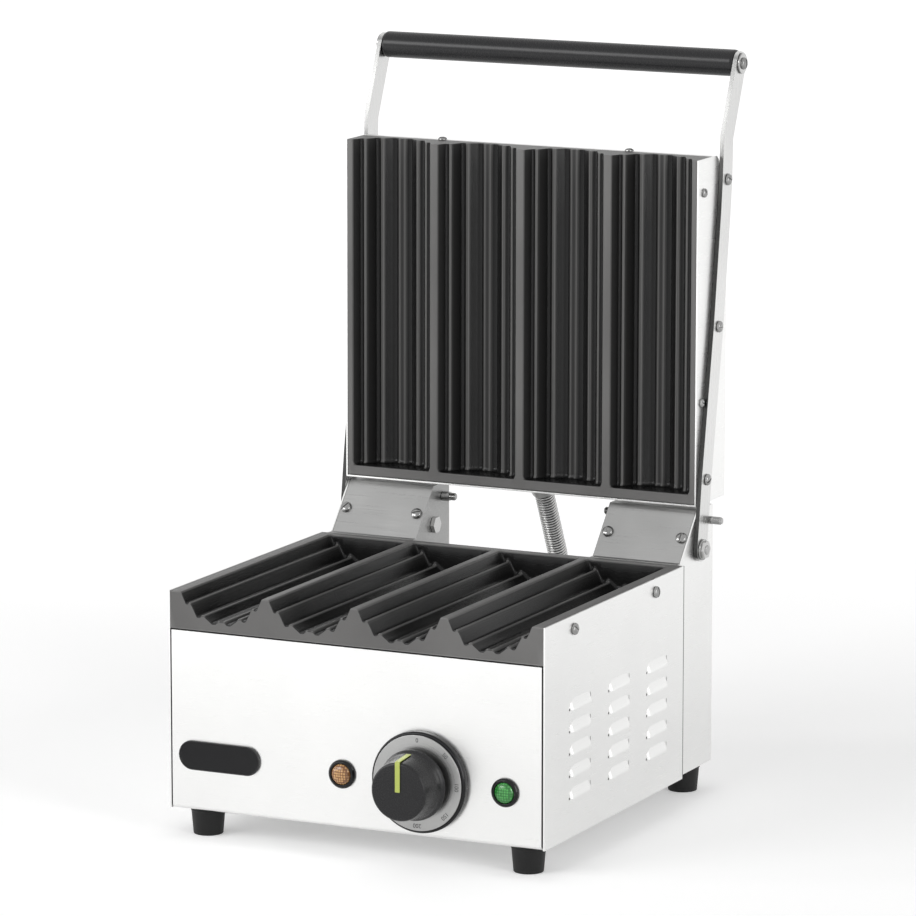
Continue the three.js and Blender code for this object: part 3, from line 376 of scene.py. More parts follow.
finish("element_steel", (0.14, 0.12, 0.11), (0.2, 0.17, 0.15), (0.4, 0.6), EVEN, depth=0.3, metallic=0.8,
       patch_scale=40.0)
finish("wire_cover", (0.03, 0.03, 0.03), (0.022, 0.022, 0.022), (0.5, 0.65), BRUSHED_UPRIGHT, depth=0.3)
finish("ink", (0.02, 0.02, 0.021), (0.016, 0.016, 0.017), (0.5, 0.6), EVEN, depth=0.05)
dial_tree = finish("dial_silver", grey(0.44), grey(0.36), (0.22, 0.42), EVEN, grain=2600, depth=0.3, metallic=1)
lens_finish("amber_lens", (0.80, 0.47, 0.19), (0.22, 0.09, 0.03))
lens_finish("green_lens", (0.08, 0.44, 0.09), (0.02, 0.17, 0.03))
ring_grain(dial_tree, DIAL_X * MM, DIAL_Z * MM)
# The last tone is the painted highlight on the channels' crests.
coat_channels(plate_tree, (0.006, 0.006, 0.006), (0.16, 0.32), (0.15, 0.148, 0.145))
# Painted shade: the arms' front edges beside the plate go dark.
paint_shade_beside_plate(arm_tree, grey(0.06), above=0.70, below=0.44)


# Forms

def eased(points, ease, closed=False, steps=3):
    """A line of flat points with each corner turned into a small curve"""
    line = []
    for i, point in enumerate(points):
        if not closed and i in (0, len(points) - 1):
            line.append(tuple(point))
            continue
        corner = Vector(point)
        spans = [Vector(other) - corner for other in (points[i - 1], points[(i + 1) % len(points)])]
        start, end = (corner + span.normalized() * min(ease, span.length * 0.45) for span in spans)
        for step in range(steps + 1):
            share = step / steps
            line.append(tuple(start.lerp(corner, share).lerp(corner.lerp(end, share), share)))
    return line


def lathe(form, profile, centre=(0, 0, 0), axis="Y", sides=64):
    """Adds a turned body to a form: its profile gives (radius, place along the axis)."""
    turn = {"X": lambda a, r, s: (a, r, s), "Y": lambda a, r, s: (r, a, s), "Z": lambda a, r, s: (r, s, a)}[axis]
    rings = []
    for radius, along in profile:
        angles = [math.tau * side / sides for side in range(sides if radius > 0 else 1)]
        spokes = [turn(along, radius * math.cos(angle), radius * math.sin(angle)) for angle in angles]
        rings.append([form.verts.new(Vector(spoke) + Vector(centre)) for spoke in spokes])
    for one, other in zip(rings, rings[1:]):
        for side in range(sides):
            after = (side + 1) % sides
            corners = [one[side % len(one)], one[after % len(one)], other[after % len(other)], other[side % len(other)]]
            if len(set(corners)) > 2:
                form.faces.new(list(dict.fromkeys(corners)))
    return form


def prism(form, outline, axis, start, end):
    """Adds a flat outline, set out along an axis, to a form."""
    turn = {"X": lambda a, b, d: (d, a, b), "Y": lambda a, b, d: (a, d, b), "Z": lambda a, b, d: (a, b, d)}[axis]
    near, far = ([form.verts.new(turn(a, b, place)) for a, b in outline] for place in (start, end))
    form.faces.new(near)
    form.faces.new(list(reversed(far)))
    return skinned(form, [near, far], ends=False)


def block(form, x, y, z):
    return prism(form, [(x[0], y[0]), (x[1], y[0]), (x[1], y[1]), (x[0], y[1])], "Z", z[0], z[1])


def side_block(form, side, x, y, z):
    """A block on one side of the body; x is given as on the right."""
    return block(form, sorted((side * x[0], side * x[1])), y, z)


def skinned(form, rows, ends=True):
    """Faces from each row of points to the next, and over both ends"""
    for one, other in zip(rows, rows[1:]):
        for i in range(len(one)):
            after = (i + 1) % len(one)
            form.faces.new((one[i], one[after], other[after], other[i]))
    if ends:
        form.faces.new(rows[0])
        form.faces.new(list(reversed(rows[-1])))
    return form


def bevelled(form, ease):
    """Eases each edge that turns by more than 32 degrees."""
    edges = [edge for edge in form.edges if edge.is_manifold and edge.calc_face_angle() > math.radians(32)]
    bmesh.ops.bevel(form, geom=edges, offset=ease, offset_type="OFFSET", segments=2, profile=0.5,
                    affect="EDGES", clamp_overlap=True)
    return form


def as_mesh(name, form):
    mesh = bpy.data.meshes.new(name)
    form.to_mesh(mesh)
    form.free()
    return mesh


def smoothed(mesh, sharp=38):
    """Shades a mesh smooth, apart from edges that turn by more than an angle in degrees."""
    mesh.shade_smooth()
    mesh.set_sharp_from_angle(angle=math.radians(sharp))
    return mesh


def meshed(name, form, matrix=BASE, sharp=38):
    """A form's mesh in the row frame, with its double points joined and its faces turned outwards"""
    bmesh.ops.remove_doubles(form, verts=form.verts, dist=1e-5)
    bmesh.ops.recalc_face_normals(form, faces=form.faces)
    mesh = as_mesh(name, form)
    mesh.transform(matrix)
    return smoothed(mesh, sharp)


def evened(mesh):
    """Flat faces shade flat, and the eased edges between them carry the turn."""
    holder = placed(mesh.name, mesh)
    holder.modifiers.new("evened", "WEIGHTED_NORMAL").keep_sharp = True
    return baked(holder)


def difference(name, mesh, cutters):
    """Cuts one mesh from another."""
    whole, tool = placed(name, mesh), placed(name + "_cutters", cutters)
    modifier = whole.modifiers.new("cut", "BOOLEAN")
    modifier.object, modifier.solver, modifier.use_self = tool, "EXACT", True
    made = baked(whole)
    bpy.data.objects.remove(tool)
    return made


# Pieces

def shown(name, mesh, finish_name):
    """A piece in its finish"""
    piece = placed(name, mesh)
    mesh.materials.clear()
    mesh.materials.append(FINISHES[finish_name])
    return piece


def fitted(name, mesh, body, finish_name, nodes=()):
    """A piece on a body, in place of CAD nodes, with its finish"""
    piece = shown(name, mesh, finish_name)
    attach(piece, body)
    if nodes:
        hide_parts(*nodes)
    return piece


def softened(node, finish_name, ease=0.4):
    """A CAD node's own shape with its edges eased, in its place"""
    form = bmesh.new()
    form.from_mesh(frame["nodes"][node].data)
    bmesh.ops.remove_doubles(form, verts=form.verts, dist=2e-6)
    bmesh.ops.dissolve_limit(form, angle_limit=math.radians(1), verts=form.verts, edges=form.edges)
    mesh = evened(smoothed(as_mesh(node + "_eased", bevelled(form, ease * MM)), 50))
    return fitted(node + "_eased", mesh, frame["nodes"][node]["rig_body"], finish_name, [node])


def dressed(finish_name, *nodes):
    """CAD nodes that keep their shapes and take a finish"""
    for node in nodes:
        for material_slot in frame["nodes"][node].material_slots:
            material_slot.material = FINISHES[finish_name]


# Rows of like pieces

def pattern_tree(name, inputs):
    """Sets a pattern piece on points, makes the copies real and gives them a finish."""
    tree, given, result = grouped(
        name, "GeometryNodeTree",
        [("Geometry", "Geometry"), ("Pattern", "Object"), ("Finish", "Material"), *inputs], [("Geometry", "Geometry")])
    pattern = add(tree, "GeometryNodeObjectInfo")
    spread = add(tree, "GeometryNodeInstanceOnPoints")
    real = add(tree, "GeometryNodeRealizeInstances")
    painted = add(tree, "GeometryNodeSetMaterial")
    join(tree, (given, "Pattern", pattern, "Object"), (pattern, "Geometry", spread, "Instance"),
         (spread, "Instances", real, "Geometry"), (real, "Geometry", painted, "Geometry"),
         (given, "Finish", painted, "Material"), (painted, "Geometry", result, "Geometry"))
    return tree, given, spread


def places_tree():
    """A pattern piece on every point, turned by the point's own turn"""
    tree, given, spread = pattern_tree("pieces_on_places", [("Size", "Float")])
    turn = add(tree, "GeometryNodeInputNamedAttribute", {"Name": "turn"}, data_type="FLOAT_VECTOR")
    size = add(tree, "ShaderNodeCombineXYZ")
    join(tree, (given, "Geometry", spread, "Points"), (turn, "Attribute", spread, "Rotation"),
         *((given, "Size", size, axis) for axis in "XYZ"), (size, "Vector", spread, "Scale"))
    return tree


def bank_tree():
    """A pattern piece on a bank of columns along Y and rows up Z, about a middle"""
    tree, given, spread = pattern_tree("louvre_bank", [
        ("Columns", "Int"), ("Rows", "Int"), ("Length", "Float"), ("Height", "Float"), ("Middle", "Vector")])
    grid = add(tree, "GeometryNodeMeshGrid")
    upright = add(tree, "GeometryNodeTransform", {"Rotation": Euler((0, math.radians(-90), 0))})
    join(tree, (given, "Height", grid, "Size X"), (given, "Length", grid, "Size Y"),
         (given, "Rows", grid, "Vertices X"), (given, "Columns", grid, "Vertices Y"),
         (grid, "Mesh", upright, "Geometry"), (given, "Middle", upright, "Translation"),
         (upright, "Geometry", spread, "Points"))
    return tree


PIECES_ON_PLACES = places_tree()
LOUVRE_BANK = bank_tree()


def grown(name, start, tree, values, pattern):
    """Runs a tree on a starting mesh and returns the plain mesh that comes of it."""
    holder = placed(name, start)
    if pattern.name not in bpy.context.scene.collection.objects:
        bpy.context.scene.collection.objects.link(pattern)
    modifier = holder.modifiers.new("growth", "NODES")
    modifier.node_group = tree
    values = {"Pattern": pattern, **values}
    for item in tree.interface.items_tree:
        if item.item_type == "SOCKET" and item.in_out == "INPUT" and item.name in values:
            modifier[item.identifier] = values[item.name]
    bpy.context.view_layer.update()
    mesh = baked(holder)
    mesh.name = name
    return mesh


def slotted_head():
    """A pan head with a slot, in metres, drawn along Y with its head before the origin"""
    dome = eased([(0, -2.9), (2.2, -2.9), (3.9, -2.1), (4.4, -0.9), (4.4, -0.3), (2.0, -0.3), (2.0, 3), (0, 3)], 0.5)
    head = meshed("slotted_head", lathe(bmesh.new(), dome, sides=32), Matrix.Scale(MM, 4))
    slot = meshed("slot", block(bmesh.new(), (-6, 6), (-4, -1.8), (-0.6, 0.6)), Matrix.Scale(MM, 4))
    return bpy.data.objects.new("slotted_head_pattern", smoothed(difference("slotted_head", head, slot)))


SLOTTED_HEAD = slotted_head()


def screws(name, body, places, size=1.0, nodes=()):
    """Slotted screws on one body: each place is a matrix in the row frame."""
    start = bpy.data.meshes.new(name + "_places")
    start.from_pydata([tuple(place.translation) for place in places], [], [])
    turn = start.attributes.new("turn", "FLOAT_VECTOR", "POINT")
    turn.data.foreach_set("vector", [angle for place in places for angle in place.to_euler()])
    mesh = grown(name, start, PIECES_ON_PLACES, {"Size": size, "Finish": FINISHES["screw_steel"]}, SLOTTED_HEAD)
    return fitted(name, mesh, body, "screw_steel", nodes)


def at(group, x, y, z, *turns):
    """A place for a screw: a point, and its turns as (axis, degrees)"""
    place = group @ Matrix.Translation((x, y, z))
    for axis, degrees in turns:
        place = place @ Matrix.Rotation(math.radians(degrees), 4, axis)
    return place


# Cooking plates

PITCH, CHANNEL_DEPTH, WALL = 71.33, 21.2, 7.0
CHANNEL_SHARES = [
    (0.073, 0), (0.095, 0.047), (0.185, 0.352), (0.207, 0.385), (0.240, 0.382), (0.268, 0.350), (0.297, 0.362),
    (0.330, 0.440), (0.432, 0.770), (0.455, 0.812), (0.505, 0.812), (0.560, 0.752), (0.605, 0.752), (0.655, 0.820),
    (0.742, 0.930), (0.790, 0.995), (0.865, 0.995), (0.935, 0.905), (1, 0.900),
]


def face_line(half_width):
    """Across the plate: how far each point lies under the ridges"""
    line = [(-half_width, 2.0), (-half_width, 0.0)]
    for channel in range(4):
        left, right = (channel - 2) * PITCH, (channel - 1) * PITCH
        half = PITCH / 2
        line += [(left + over * half, deep * CHANNEL_DEPTH) for over, deep in CHANNEL_SHARES]
        line += [(right - over * half, deep * CHANNEL_DEPTH) for over, deep in reversed(CHANNEL_SHARES[:-1])]
    return eased(line + [(half_width, 0.0), (half_width, 2.0)], ease=0.55, steps=2)


def plate_stations(length):
    """Along the plate: place, how far the channels' floor has risen, their greatest depth, and the rim's fall"""
    fillet, full, ease = 3.2, CHANNEL_DEPTH, 0.8
    wall = length - WALL
    stations = [(0, 0, full, ease), (0.25, 0, full, 0.3), (ease, 0, full, 0)]
    stations += [(length * share, 0, full, 0) for share in (0.2, 0.4, 0.6, 0.8)]
    for step in range(7):
        turn = math.radians(15 * step)
        stations.append((wall - ease - fillet * (1 - math.sin(turn)), fillet * (1 - math.cos(turn)), full, 0))
    stations += [(wall - 0.77, fillet + ease, full, 0), (wall - 0.3, fillet + ease, ease, 0), (wall, full, 0.25, 0),
                 (wall + 0.6, full, 0, 0)]
    return stations + [(length - ease, full, 0, 0), (length - 0.25, full, 0, 0.3), (length, full, 0, ease)]


def crests(line):
    """Which points of the profile stand out as edges, from 0 to 1 at a turn of 0.3 radians"""
    found = [0.0]
    for (x0, z0), (x1, z1), (x2, z2) in zip(line, line[1:], line[2:]):
        turn = math.atan2(z2 - z1, x2 - x1) - math.atan2(z1 - z0, x1 - x0)
        found.append(min(max(turn / 0.3, 0.0), 1.0))
    return found + [0.0]


def end_face(form, row, half_width, side, back):
    """Closes a plate's end, with narrow bands that keep its wear at the edge"""
    profile, (right, left) = row[:-2], row[-2:]
    bands = [profile]
    for band in (0.35, 0.8):
        inner, columns = [], []
        for vertex in profile:
            x, y, z = vertex.co
            x = min(max(x, band - half_width), half_width - band)
            inner.append(form.verts.new((x, y, z + side * band)))
            if columns and abs(columns[-1][0].co.x - x) < 1e-5:
                columns[-1].append(inner[-1])
            else:
                columns.append([inner[-1]])
        for i in range(len(profile) - 1):
            form.faces.new((bands[-1][i], bands[-1][i + 1], inner[i + 1], inner[i]))
        bands.append(inner)
    low = [form.verts.new((column[0].co.x, column[0].co.y, back - side * 0.8)) for column in columns]
    for one, other, under, after in zip(columns, columns[1:], low, low[1:]):
        form.faces.new([under, *one, *other, after])
    for end, corner in ((0, left), (-1, right)):
        form.faces.new([*(line[end] for line in bands), low[end], corner])
    form.faces.new([*low, right, left])


def cast_plate(node, matrix, half_width, start, length, face, back):
    """A plate in rows along its length; each point carries its depth in a channel and how far it is an edge."""
    line = face_line(half_width)
    edges = crests(line)
    side = 1 if back > face else -1
    rim = 1.2
    form = bmesh.new()
    coating = form.verts.layers.float.new("channel")
    crest = form.verts.layers.float.new("crest")
    rows = []
    for along, rise, deepest, fall in plate_stations(length):
        row = []
        for (x, deep), standing in zip(line, edges):
            on_rim = abs(x) > half_width - rim
            down = deep if on_rim else min(max(deep - rise, 0), deepest)
            row.append(form.verts.new((x, start + along, face + side * (down + fall))))
            row[-1][coating] = 0 if on_rim else down
            row[-1][crest] = standing if down > 1 and rise < 1.2 else 0
        row += [form.verts.new((x, start + along, back)) for x in (half_width, -half_width)]
        rows.append(row)
    skinned(form, rows, ends=False)
    for row in (rows[0], rows[-1]):
        end_face(form, row, half_width, side, back)
    fitted(node + "_cast", meshed(node + "_cast", form, matrix, 25), "lid" if matrix is LID else "base",
           "cast_plate", [node])


cast_plate("lower_plate", BASE, half_width=148.5, start=0, length=243, face=182, back=154.5)
cast_plate("upper_plate", LID, half_width=143.5, start=-290.7, length=256.8, face=-4.9, back=22.6)


# Casing

SIDE_PLANE = 150
LOUVRE_COLUMNS, LOUVRE_ROWS = 3, 5
LOUVRE_LENGTH, LOUVRE_PITCH_Y, LOUVRE_PITCH_Z = 34.0, 67.2, 16.2
FIRST_LOUVRE_Y, FIRST_LOUVRE_Z = 42.7, 49.4


def louvre_hood():
    """One pressed hood, in metres: drawn on the plane x = 0, middle of its lower edge at the origin, open below"""
    height, wall, run_in = 7.8, 0.7, 0.2
    outer = [(0.0, height), (0.75, height - 1.1), (1.75, height - 3.1), (2.45, height - 5.4), (2.8, 1.0), (2.8, 0.0)]
    form, rows = bmesh.new(), []
    for share in (0, 0.03, 0.07, 0.13, 0.2, 0.35, 0.5, 0.65, 0.8, 0.87, 0.93, 0.97, 1):
        edge = min(share, 1 - share) / run_in
        swell = math.sqrt(max(0.0, 1 - (1 - min(edge, 1)) ** 2))
        skin = [(x * swell + 0.02, z * (0.35 + 0.65 * swell)) for x, z in outer]
        hollow = [(max(x - wall, -0.6), z - (0.5 if z > 1 else 0)) for x, z in reversed(skin)]
        rows.append([form.verts.new((x, (share - 0.5) * LOUVRE_LENGTH, z)) for x, z in skin + hollow])
    return skinned(form, rows)


def side_sheet(word, side):
    """A side's flat sheet, with an opening and two slits at each louvre, and its inner flanges"""
    skin = side_block(bmesh.new(), side, (148.8, SIDE_PLANE), (0, 241.8), (21, 182))
    cutters = bmesh.new()
    for column in range(LOUVRE_COLUMNS):
        for row in range(LOUVRE_ROWS):
            y, z = FIRST_LOUVRE_Y + column * LOUVRE_PITCH_Y, FIRST_LOUVRE_Z + row * LOUVRE_PITCH_Z
            for near, far, low, high in ((3, 31, 0, 4.5), (-1.9, -0.2, -0.4, 1.3), (34.1, 34.9, 0.6, 6.6)):
                side_block(cutters, side, (147, 152), (y + near, y + far), (z + low, z + high))
    cut = difference("side_panel_" + word, meshed("skin", bevelled(skin, 0.3)), meshed("slots", cutters))
    flanges = side_block(bmesh.new(), side, (138, 148.9), (12.3, 242), (153, 154.2))
    side_block(flanges, side, (145.3, 148.9), (241.8, 243), (21, 154.2))
    form = bmesh.new()
    form.from_mesh(cut)
    form.from_mesh(meshed("flanges", flanges))
    return evened(smoothed(as_mesh("side_panel_" + word, form)))


def louvres(word, side):
    """All the hoods of one side"""
    mesh = meshed("hood", louvre_hood(), Matrix.Diagonal((side * MM, MM, MM, 1)), 60)
    hood = bpy.data.objects.new("hood_" + word, mesh)
    length, height = (LOUVRE_COLUMNS - 1) * LOUVRE_PITCH_Y, (LOUVRE_ROWS - 1) * LOUVRE_PITCH_Z
    middle = Vector((side * SIDE_PLANE, FIRST_LOUVRE_Y + LOUVRE_LENGTH / 2 + length / 2, FIRST_LOUVRE_Z + height / 2))
    values = {"Columns": LOUVRE_COLUMNS, "Rows": LOUVRE_ROWS, "Length": length * MM, "Height": height * MM,
              "Middle": BASE @ middle, "Finish": FINISHES["satin_steel"]}
    bank = grown("louvres_" + word, bpy.data.meshes.new("bank"), LOUVRE_BANK, values, hood)
    bpy.data.objects.remove(hood)
    return bank


def side_panels():
    """The sheets, a dark strip behind each as a painted shadow at its rear edge, the louvres and two screws a side"""
    places = []
    for word, side in SIDES:
        fitted(f"side_panel_{word}_sheet", side_sheet(word, side), "base", "satin_steel", [f"side_panel_{word}"])
        # Painted shadow: a thin dark strip at the sheet's rear edge, for the shade in the gap to the rear housing.
        shadow_strip = bevelled(side_block(bmesh.new(), side, (148.95, 149.95), (241.75, 243), (21.2, 181.8)), 0.1)
        fitted(f"side_joint_{word}", meshed("side_joint", shadow_strip), "base", "ink", ())
        fitted(f"louvres_{word}", louvres(word, side), "base", "satin_steel")
        for y, turn in ((49, 35), (191, 85)):
            places.append(at(BASE, side * SIDE_PLANE, y, 172, ("Z", side * 90), ("Y", turn)))
    screws("side_panel_screws", "base", places)


def casing():
    """The sheets that keep their CAD shape; the front panel's left edge stands 0.25 mm past the side panel."""
    front = softened("front_panel", "satin_steel", 0.35)
    for vertex in front.data.vertices:
        if vertex.co.x < -140 * MM:
            vertex.co.x -= 0.25 * MM
    softened("rear_housing", "satin_steel", 0.4)
    softened("lid_cover", "satin_steel", 0.5)
    for word, side in SIDES:
        softened(f"tower_cover_{word}", "tower_steel", 0.45)
        softened(f"lid_arm_{word}", "arm_steel", 0.7)
    dressed("plain_steel", "base_pan", "rear_deck", "heat_shield")


def tower_screws():
    """Two on each tower's slanted front, a little under half way up"""
    run, rise, share = 30.5, 35, 0.46
    lean = math.degrees(math.atan2(run - 1.0, rise))
    y, z = 248.5 + share * run, 182 + share * rise
    places, nodes = [], []
    for word, side in SIDES:
        for number, x in enumerate((79.3, 139), 1):
            places.append(at(BASE, side * x, y, z, ("X", -lean), ("Y", 20 + 37 * number * side)))
            nodes.append(f"tower_screw_{word}_{number}")
    screws("tower_screws", "base", places, nodes=nodes)


side_panels()
casing()
tower_screws()


# Lid: arms' screws, handle and cover screws

ARM_SCREWS = [(-51.58, 7.13), (-163.62, 26.89), (-271.86, 41.15)]
HANDLE_Y, HANDLE_Z = -355.7, 64.8


def lid_screws():
    places, nodes, cover = [], [], []
    for word, side in SIDES:
        for number, (y, z) in enumerate(ARM_SCREWS, 1):
            places.append(at(LID, side * 148.5, y, z, ("Z", side * 90), ("Y", 25 * number + 40 * side)))
            nodes.append(f"arm_screw_{word}_{number}")
        cover.append(at(BASE, side * 77, 303, 478.2, ("X", -90), ("Y", 30 * side)))
        cover.append(at(BASE, side * 145, 285.7, 453.3, ("Z", side * 90), ("Y", 60)))
        cover.append(at(BASE, side * 145, 283.1, 297, ("Z", side * 90), ("Y", 15)))
    screws("arm_screws", "lid", places, nodes=nodes)
    screws("lid_cover_screws", "lid", cover, 0.78)


def turned_on_side(form, side, profile, centre, sides=40):
    """Adds a body turned about X; its profile is given as on the right."""
    return lathe(form, [(radius, side * along) for radius, along in profile], centre, "X", sides)


def handle():
    """The grip, a screw and a washer at each end of it, and the rod inside"""
    centre = (0, HANDLE_Y, HANDLE_Z)
    end = [(10, 143), (9.6, 144.4), (8.2, 145), (4.3, 145)]
    grip = [(radius, -along) for radius, along in reversed(end)] + end
    form = lathe(bmesh.new(), eased(grip, 0.4) + grip[:1], centre, "X")
    fitted("handle_grip_turned", meshed("handle_grip", form, LID), "lid", "black_plastic", ["handle_grip"])
    washer = eased([(2, 148.8), (7.8, 148.8), (7.8, 150), (2, 150)], 0.3, True)
    head = [(0, 152.7), (2.4, 152.7), (4, 152), (4.5, 150.8), (4.5, 150), (2, 150), (2, 131), (0, 131)]
    for word, side in SIDES:
        form = turned_on_side(bmesh.new(), side, washer + washer[:1], centre)
        turned_on_side(form, side, eased(head, 0.4), centre)
        slot = side_block(bmesh.new(), side, (151.7, 154), (HANDLE_Y - 6, HANDLE_Y + 6),
                          (HANDLE_Z - 0.6, HANDLE_Z + 0.6))
        made = smoothed(difference("handle_screw", meshed("handle_screw", form, LID), meshed("slot", slot, LID)))
        fitted(f"handle_screw_{word}_turned", made, "lid", "screw_steel", [f"handle_screw_{word}"])
    dressed("plain_steel", "handle_rod")


lid_screws()
handle()


# Pivots and stops

def nut(form, side, centre, radius, near, far, ease=0.5):
    """Adds a hexagon nut; its ends are given as on the right."""
    part, turns = bmesh.new(), [math.tau * i / 6 for i in range(6)]
    hexagon = [(centre[1] + radius * math.cos(turn), centre[2] + radius * math.sin(turn)) for turn in turns]
    prism(part, hexagon, "X", *sorted((side * near, side * far)))
    form.from_mesh(as_mesh("nut", bevelled(part, ease)))


def threaded(radius, start, end, pitch=0.9):
    """A thread's crests and roots along a bar"""
    line, count = [], max(1, int(abs(end - start) / pitch))
    step = (end - start) / count
    for turn in range(count):
        line += [(radius - 0.38, start + step * turn), (radius, start + step * (turn + 0.4))]
    return line + [(radius - 0.38, end)]


def pivots():
    """A bolt, washer and nuts on each side of the hinge, and the rods that the open arms rest on"""
    pivot, stop = (0, PIVOT_Y, PIVOT_Z), (0, 295.16, 207)
    washer = eased([(3, 148.8), (7.8, 148.8), (7.8, 150), (3, 150)], 0.3, True)
    bolt = [(0, 72), (4, 72), (4, 149), *threaded(4, 149, 152.4), (3.2, 153), (0, 153)]
    rod = [(0, 62.2), (2.3, 62.2), *threaded(3, 62.7, 67), (3, 73), (3, 149), *threaded(3, 149.2, 156.9),
           (2.2, 157.7), (0, 157.7)]
    for word, side in SIDES:
        form = bmesh.new()
        nut(form, side, pivot, 6.6, 70, 73)
        nut(form, side, pivot, 6.9, 150, 152.3)
        turned_on_side(form, side, washer + washer[:1], pivot)
        turned_on_side(form, side, bolt, pivot)
        fitted(f"pivot_bolt_{word}_turned", meshed("pivot_bolt", form), "base", "screw_steel",
               [f"pivot_bolt_{word}"])
        form = bmesh.new()
        nut(form, side, stop, 3.9, 67, 73, 0.3)
        turned_on_side(form, side, rod, stop, 32)
        fitted(f"stop_rod_{word}_turned", meshed("stop_rod", form, sharp=60), "base", "screw_steel",
               [f"stop_rod_{word}"])


pivots()


# Control panel

def turned_piece(name, profile, centre, body, finish_name, node, ease=0.4, sides=96, closed=False):
    """A piece turned about Y, in place of a CAD node; a closed profile comes back to its first point."""
    line = eased(profile, ease, closed)
    if closed:
        line.append(line[0])
    fitted(name, meshed(name, lathe(bmesh.new(), line, centre, "Y", sides)), body, finish_name, [node])


def dial_marks():
    """Plain numbers round the dial's face"""
    form = bmesh.new()
    for number in range(7):
        words = bpy.data.curves.new("number", "FONT")
        words.body = str(50 * number)
        words.size = 4.4
        words.align_x = words.align_y = "CENTER"
        words.extrude = 0.04
        mesh = baked(placed("number", words))
        turn = Matrix.Translation(DIAL_CENTRE) @ Matrix.Rotation(math.radians(45 * number), 4, "Y")
        mesh.transform(turn @ Matrix.Translation((0, -7.24, 31)) @ Matrix.Rotation(math.radians(90), 4, "X"))
        form.from_mesh(mesh)
    fitted("dial_marks", meshed("dial_marks", form), "base", "ink", ())


def dial_and_knob():
    """The ring, the silver face with its marks, and the knob, its pointer wider than its CAD node"""
    ring = [(3.4, -0.3), (3.4, -5.9), (35.9, -5.9), (37, -4.8), (37, -0.3)]
    turned_piece("dial_ring_turned", ring, DIAL_CENTRE, "base", "badge_black", "dial_ring",
                 closed=True)
    face = [(3.4, -6.2), (3.4, -7.2), (34.8, -7.2), (34.8, -6.2)]
    turned_piece("dial_face_turned", face, DIAL_CENTRE, "base", "dial_silver", "dial_face", 0.25, closed=True)
    dial_marks()
    knob = [(0, -37.9), (10, -38.0), (20.1, -38.0), (21.3, -36.8), (22.3, -28), (22.9, -21), (23.9, -17.6),
            (25.4, -15.8), (25.8, -15.0), (25.8, -13.5), (12, -13.5), (12, -7.5), (3.3, -7.5), (3.3, -22.6),
            (0, -22.6)]
    turned_piece("thermostat_knob_turned", knob, DIAL_CENTRE, "knob", "black_plastic", "thermostat_knob", 0.8)
    pointer = softened("knob_pointer", "pointer_lime", 0.3)
    middle = Matrix.Translation((DIAL_X * MM, 0, 0))
    pointer.data.transform(middle @ Matrix.Scale(1.28, 4, (1, 0, 0)) @ middle.inverted())
    dressed("plain_steel", "thermostat_shaft")


def lamp(word, x):
    """A bezel, and a domed lens moulded with small pyramids that fade at its rim"""
    bezel = [(0, -0.9), (7.9, -0.9), (7.9, -2.9), (9.2, -2.9), (10.5, -1.6), (10.5, -0.3), (6, -0.3), (6, 26),
             (0, 26)]
    turned_piece(f"lamp_bezel_{word}_turned", bezel, (x, 0, LAMP_Z), "base", "badge_black",
                 f"lamp_bezel_{word}", 0.35, 64)
    dome = [(0, -5.3), (1.2, -5.27), (2.4, -5.15), (3.6, -4.92), (4.8, -4.55), (5.8, -4.1), (6.6, -3.5),
            (7.2, -2.8), (7.6, -1.9), (7.6, -1.25), (0, -1.25)]
    lens = lathe(bmesh.new(), dome, sides=72)
    bmesh.ops.subdivide_edges(lens, edges=[edge for edge in lens.edges if edge.calc_length() > 0.7], cuts=1,
                              use_grid_fill=True)
    waves, height, rim, skirt = 3.4, 0.13, 7.4, -1.4
    for vertex in lens.verts:
        if vertex.co.y < skirt:
            pyramids = math.cos(vertex.co.x * waves) * math.cos(vertex.co.z * waves)
            fade = max(0.0, 1 - (math.hypot(vertex.co.x, vertex.co.z) / rim) ** 4)
            vertex.co.y += height * pyramids * fade
        vertex.co.x += x
        vertex.co.z += LAMP_Z
    fitted(f"lamp_lens_{word}_moulded", meshed("lens", lens, sharp=80), "base", f"{word}_lens",
           [f"lamp_lens_{word}"])


def badge():
    """A bare pill with a thin raised rim, drawn in loops set in from its edge"""
    x, z, radius, half, steps = -108.69, 62, 10.85, 22.15, 16
    outline = [(x + side * half, math.radians(start + 180 * step / steps))
               for side, start in ((1, -90), (-1, 90)) for step in range(steps + 1)]
    form, rows = bmesh.new(), []
    for inset, y in ((0, -0.3), (0, -1.5), (0.35, -1.85), (0.9, -1.9), (1.25, -1.8), (1.5, -1.45), (2.2, -1.4)):
        rows.append([form.verts.new((middle + (radius - inset) * math.cos(turn), y,
                                     z + (radius - inset) * math.sin(turn))) for middle, turn in outline])
    fitted("badge_plate_bare", meshed("badge_plate", skinned(form, rows)), "base", "badge_black", ["badge_plate"])


dial_and_knob()
lamp("amber", -9.51)
lamp("green", 119.49)
badge()


# Feet, gland and the guard round the lid element's wires

def feet_and_gland():
    foot = [(0, 0.4), (8.4, 0.4), (9.2, 0), (10.9, 0.2), (12.4, 17.6), (13, 18), (13, 20.4), (0, 20.7)]
    for word, y in (("front", 19), ("rear", 291)):
        for hand, side in SIDES:
            mesh = meshed("foot", lathe(bmesh.new(), eased(foot, 0.5), (side * 128.8, y, 0), "Z", 48))
            fitted(f"foot_{word}_{hand}_moulded", mesh, "base", "foot_rubber", [f"foot_{word}_{hand}"])
    gland = [(4, 302.8), (9, 302.8), (9, 307.3), (12.5, 307.3), (12.5, 310.3), (9, 310.4)]
    for rib in range(5):
        crest, start = 9 - 0.12 * rib, 312 + 2 * rib
        gland += [(crest, start), (crest, start + 1.2), (crest - 0.8, start + 1.3)]
    gland += [(7.8, 323.3), (4, 323.3)]
    turned_piece("cable_gland_moulded", gland, (-95, 0, 56), "base", "black_plastic", "cable_gland", 0.25, 48,
                 closed=True)


